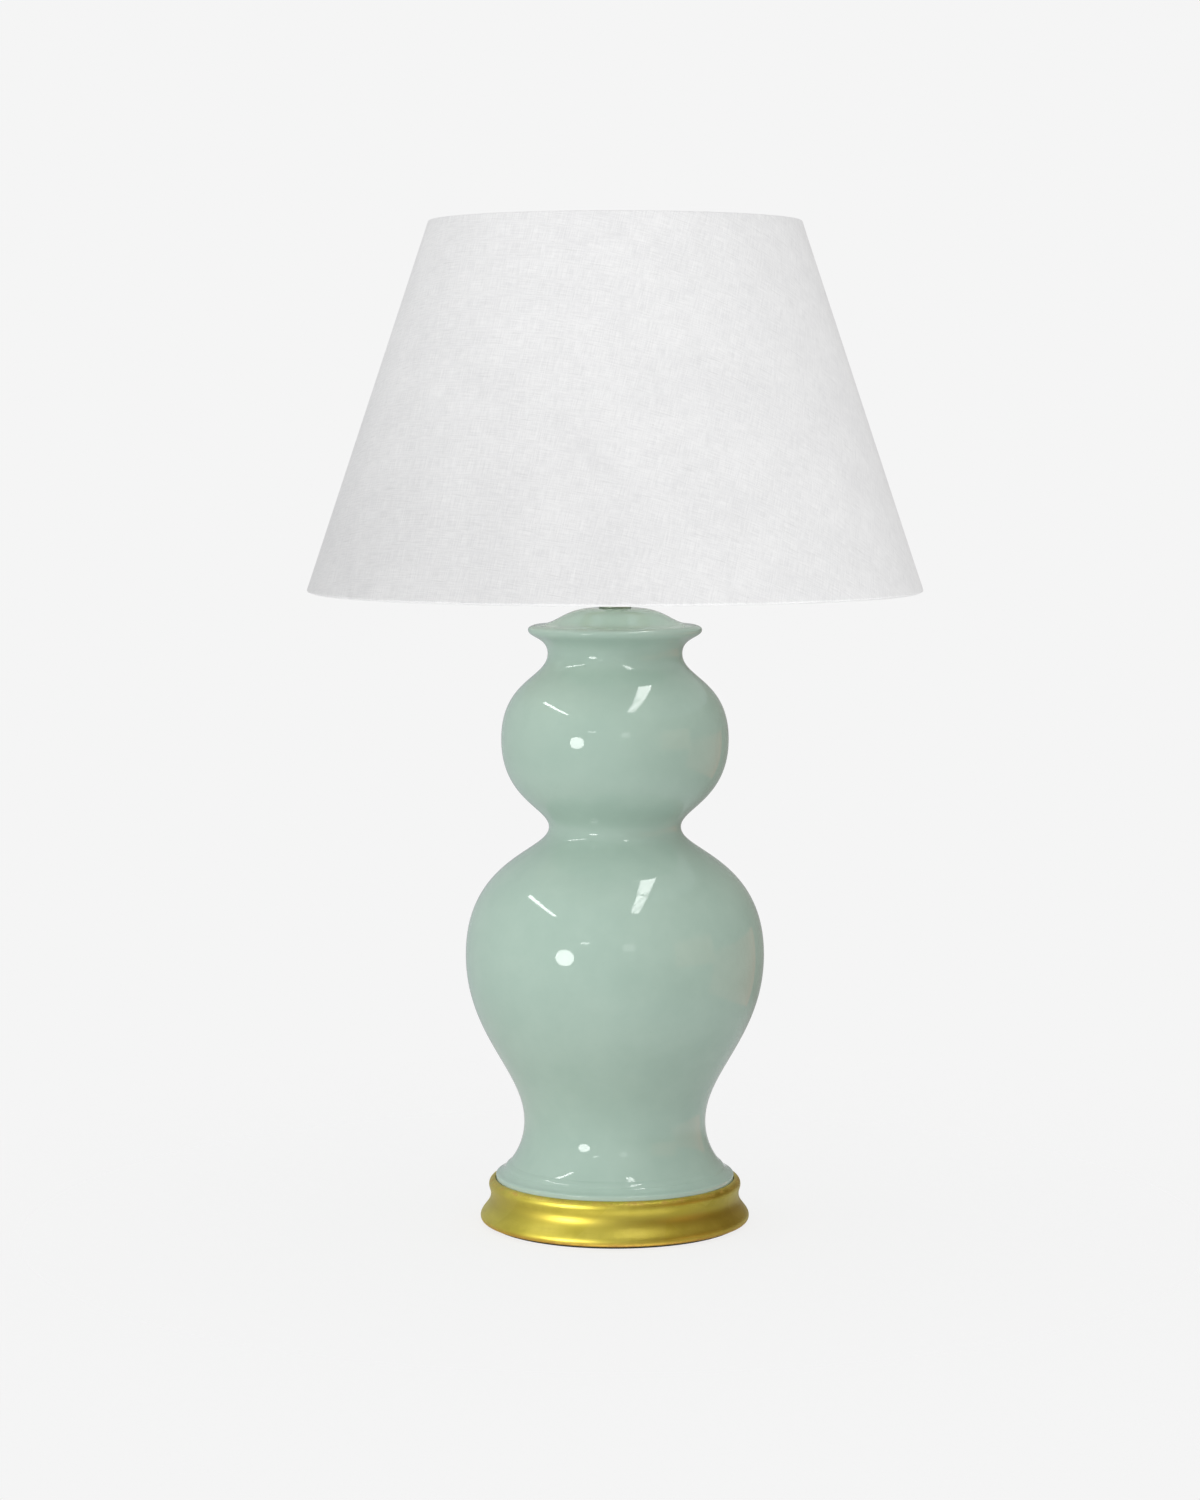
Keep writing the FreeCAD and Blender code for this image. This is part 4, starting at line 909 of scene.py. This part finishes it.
KEPT = {
    "shade_liner": STYRENE, "bottom_ring": ENAMEL, "shade_spider": ENAMEL, "harp_saddle": PLATE, "top_nut": PLATE,
    "socket_cap": BRASS, "socket_shell": BRASS, "socket_lining": BOARD, "socket_interior": PHENOLIC,
    "terminal_screws": BARE_BRASS, "centre_contact": BARE_BRASS, "set_screw": ZINC, "switch_stem": PLATE,
    "bulb_insulator": FUSED_GLASS, "clamp_washer": ZINC, "lock_washer": ZINC, "bottom_nut": ZINC,
    "foot_gasket": CORK, "lead_bushing": NYLON,
}


def dress_kept_nodes():
    """Finishes of the nodes that stay as CAD made them."""
    for name, finish in KEPT.items():
        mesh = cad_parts[name].data
        mesh.materials.clear()
        mesh.materials.append(finish)


# ---------------------------------------------------------------- studio


def studio_floor():
    """Pale floor that keeps the lamp's shadow and fades into the background around it. It is clear from beneath and
    under the felt, so that the underside can be seen."""
    f = Finish("studio_floor")
    x, y, _ = f.split(f.place())
    reach = (x * x + y * y) ** 0.5
    rays = f.node("ShaderNodeLightPath", output="Is Camera Ray")
    lit = f.node("ShaderNodeBsdfDiffuse", None, {"Color": linear(236, 236, 236)})
    glow = f.node("ShaderNodeEmission", None, {"Color": linear(253, 253, 253), "Strength": 1.0})
    seen = f.node("ShaderNodeMixShader", None, {0: 0.8, 1: lit, 2: glow})
    floor = f.node("ShaderNodeMixShader", None, {0: rays, 1: lit, 2: seen})
    clear = f.node("ShaderNodeBsdfTransparent")
    beneath = f.node("ShaderNodeNewGeometry", output="Backfacing")
    under_felt = reach.smooth(FELT_R * MM, (FELT_R - 1) * MM)
    gone = reach.smooth(0.25, 0.75).maths("MAXIMUM", beneath).maths("MAXIMUM", under_felt)
    fade = f.node("ShaderNodeMixShader", None, {0: gone, 1: floor, 2: clear})
    f.node("ShaderNodeOutputMaterial", None, {"Surface": fade})
    mesh = bpy.data.meshes.new("studio_floor")
    half = 4
    mesh.from_pydata([(-half, -half, 0), (half, -half, 0), (half, half, 0), (-half, half, 0)], [], [(0, 1, 2, 3)])
    mesh.materials.append(f.material)
    floor_object = bpy.data.objects.new("studio_floor", mesh)
    bpy.context.scene.collection.objects.link(floor_object)


def studio_room():
    """Pale background for the camera, even soft light, and in reflections a room that is warm and dim on the
    right."""
    world = bpy.data.worlds.new("studio_room")
    bpy.context.scene.world = world
    world.use_nodes = True
    f = Finish("studio_room", world.node_tree)
    x, _, z = f.split(f.node("ShaderNodeTexCoord", output="Generated"))
    soft = f.blend(z.smooth(-0.4, 0.8), linear(224, 224, 224), linear(222, 222, 222))
    room = f.blend(x.smooth(-0.4, 0.8), linear(188, 194, 196), linear(122, 100, 82))
    rays = f.node("ShaderNodeLightPath")
    outputs = rays.socket.node.outputs
    camera, glossy, through = (Value(f, outputs[f"Is {kind} Ray"]) for kind in ("Camera", "Glossy", "Transmission"))
    colour = f.blend(glossy, soft, room)
    colour = f.blend((camera + through).maths("MINIMUM", 1.0), colour, linear(245, 245, 245))
    background = f.node("ShaderNodeBackground", None, {"Color": colour, "Strength": 1.0})
    f.node("ShaderNodeOutputWorld", None, {"Surface": background})


WHITE = (1.0, 1.0, 1.0)
SHADE_SIDE = ["linen_cover", "shade_liner", "bottom_ring", "shade_spider", "finial_knob", "harp_fitting", "harp_screw"]
VASE_SIDE = ["glazed_vase", "glazed_lid", "gilt_base", "seat_collar", "spun_neck"]


def group(name, members, kept=True):
    """The objects that a lamp lights, or that it shines past."""
    listed = bpy.data.collections.new(name)
    for member in members:
        listed.objects.link(bpy.data.objects.get(member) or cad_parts[member])
    if not kept:
        for entry in listed.collection_objects:
            entry.light_linking.link_state = "EXCLUDE"
    return listed


def aimed(name, data, place, aim, lights, past=None):
    """A lamp at a place, turned to what it aims at. It lights one group of objects and shines past another."""
    light = bpy.data.objects.new(name, data)
    light.location = place
    light.rotation_euler = (Vector(aim) - Vector(place)).to_track_quat("-Z", "Y").to_euler()
    light.visible_camera = False
    light.light_linking.receiver_collection = lights
    light.light_linking.blocker_collection = past
    bpy.context.scene.collection.objects.link(light)
    return light


def lamp(name, place, aim, strength, size, shape="RECTANGLE", tone=WHITE, for_gloss=False, lights=None, past=None):
    """A flat lamp of a given brightness. One for gloss shows only as a reflection, and any other lights everything
    but reflections."""
    data = bpy.data.lights.new(name, "AREA")
    width, height = size
    data.shape = shape
    data.size = width
    data.size_y = height
    area = width * height * (math.pi / 4 if shape == "ELLIPSE" else 1)
    data.energy = strength * area * math.pi
    data.color = tone
    light = aimed(name, data, place, aim, lights, past)
    light.visible_diffuse = not for_gloss
    light.visible_glossy = for_gloss


def spot_lamp(name, place, aim, power, cone, lights):
    """A soft round pool of light that fades out to the edge of its cone."""
    data = bpy.data.lights.new(name, "SPOT")
    data.energy = power
    data.spot_size = math.radians(cone)
    data.spot_blend = 1.0
    data.shadow_soft_size = 0.1
    aimed(name, data, place, aim, lights).visible_glossy = False


def studio_lamps():
    """The vase is lit from the left and the shade from the right. Vase, shade, gold and fittings have lamps of their
    own, and the lamps above the vase shine past the shade."""
    vase, shade, lid = (0, 0, 0.3), (0, 0, 0.6), (0, 0, 0.46)
    not_vase = [thing.name for thing in bpy.context.scene.objects if thing.type == "MESH"
                and thing.name not in VASE_SIDE + ["studio_floor"]]
    on_vase = group("on_vase", VASE_SIDE)
    on_shade = group("on_shade", not_vase)
    on_base = group("on_base", ["gilt_base"])
    on_glaze = group("on_glaze", ["glazed_vase", "glazed_lid"])
    on_lid = group("on_lid", ["glazed_lid", "seat_collar", "spun_neck"])
    on_fittings = group("on_fittings", [name for name in not_vase if name not in ("linen_cover", "shade_liner")])
    shade_let_by = group("shade_let_by", SHADE_SIDE, kept=False)
    floor_let_by = group("floor_let_by", ["studio_floor"], kept=False)

    lamp("vase_key", (-2.6, -2.05, 0.5), vase, 1.8, (2.6, 1.8), lights=on_vase)
    lamp("vase_low", (-0.5, -2.4, 0.15), (0, 0, 0.16), 5.6, (2.0, 0.28), lights=on_vase)
    lamp("vase_top", (0.0, -0.9, 2.0), vase, 0.75, (2.0, 1.6), lights=on_vase, past=shade_let_by)
    lamp("lid_light", (0.0, -1.6, 1.5), lid, 3.1, (1.2, 1.0), lights=on_lid, past=shade_let_by)
    lamp("shade_key", (1.3, -3.1, 0.7), shade, 1.82, (2.6, 1.8), lights=on_shade)
    lamp("shade_low", (0.2, -2.6, 0.3), shade, 0.8, (2.0, 0.5), lights=on_shade)
    lamp("hem_light", (0.0, -0.3, 0.03), (0, -0.3001, 0.5), 4.0, (0.8, 0.12), lights=on_shade)
    spot_lamp("shade_top_left", (-1.6, -1.4, 1.3), (-0.12, -0.08, 0.78), 25.0, 18.0, on_shade)

    fittings = {"lights": on_fittings, "past": shade_let_by}
    lamp("fittings_fill", (-0.6, -2.0, 0.9), shade, 1.4, (1.6, 1.4), **fittings)
    lamp("fittings_gloss", (-1.2, -2.2, 1.3), shade, 3.0, (1.2, 0.9), for_gloss=True, **fittings)
    lamp("fittings_gloss_right", (1.8, -1.4, 0.4), shade, 2.0, (0.6, 1.4), for_gloss=True, **fittings)

    gloss = {"for_gloss": True, "lights": on_vase}
    lamp("left_tube", (-1.46, -0.32, 1.6), (-0.56, -0.32, 0.3), 13, (1.3, 0.08), past=shade_let_by, **gloss)
    lamp("right_strip_far", (0.41, 0.03, 1.6), (0.41, 0.0299, 0.3), 8.5, (0.18, 0.86), past=shade_let_by, **gloss)
    lamp("right_strip_near", (0.42, -0.79, 1.6), (0.42, -0.7901, 0.3), 8, (0.18, 0.7), past=shade_let_by, **gloss)
    lamp("round_lamp", (-1.85, -2.37, 0.4), vase, 11, (0.78, 0.64), "ELLIPSE", **gloss)
    lamp("small_bar", (-1.14, -2.67, 1.1), vase, 7, (0.36, 0.08), **gloss)
    lamp("faint_window", (0.54, -2.88, 0.92), vase, 1.6, (0.46, 0.34), **gloss)
    lamp("warm_wall", (2.6, -1.3, 0.5), vase, 1.1, (1.8, 1.0), tone=linear(200, 140, 112), **gloss)
    gloss.update(lights=on_glaze, past=floor_let_by)
    lamp("warm_wall_far", (2.6, 0.85, -0.25), vase, 0.6, (3.0, 1.3), tone=linear(216, 120, 96), **gloss)
    gloss.update(lights=on_base, past=None)
    lamp("glow_on_gold", (-2.1, -2.15, 0.4), vase, 24, (0.75, 1.2), "ELLIPSE", **gloss)
    gloss.update(past=floor_let_by)
    lamp("edge_glow", (0.0, -0.4, -0.8), (0, -0.1, 0), 1.1, (1.4, 0.8), **gloss)


def studio_camera():
    """The camera at the photograph's viewing angle: a little above the lamp's middle, tilted down."""
    tilt, turn = 5.143, 0.2387
    data = bpy.data.cameras.new("camera")
    data.lens = 86.4
    data.sensor_width = 36.0
    camera = bpy.data.objects.new("camera", data)
    camera.location = (0.0, -2.6766, 0.5975)
    camera.rotation_euler = (math.radians(90 - tilt), 0.0, math.radians(turn))
    bpy.context.scene.collection.objects.link(camera)
    bpy.context.scene.camera = camera


# ---------------------------------------------------------------- the lamp

shade_linen()
glazed_vase()
glazed_lid()
gilt_base()
felt_pad()
neck_fittings()
harp_bow()
harp_top()
finial_knob()
sleeves()
light_bulb()
turn_key()
lamp_pipe()
dress_kept_nodes()
studio_floor()
studio_room()
studio_lamps()
studio_camera()
bpy.context.scene.view_settings.view_transform = "Standard"
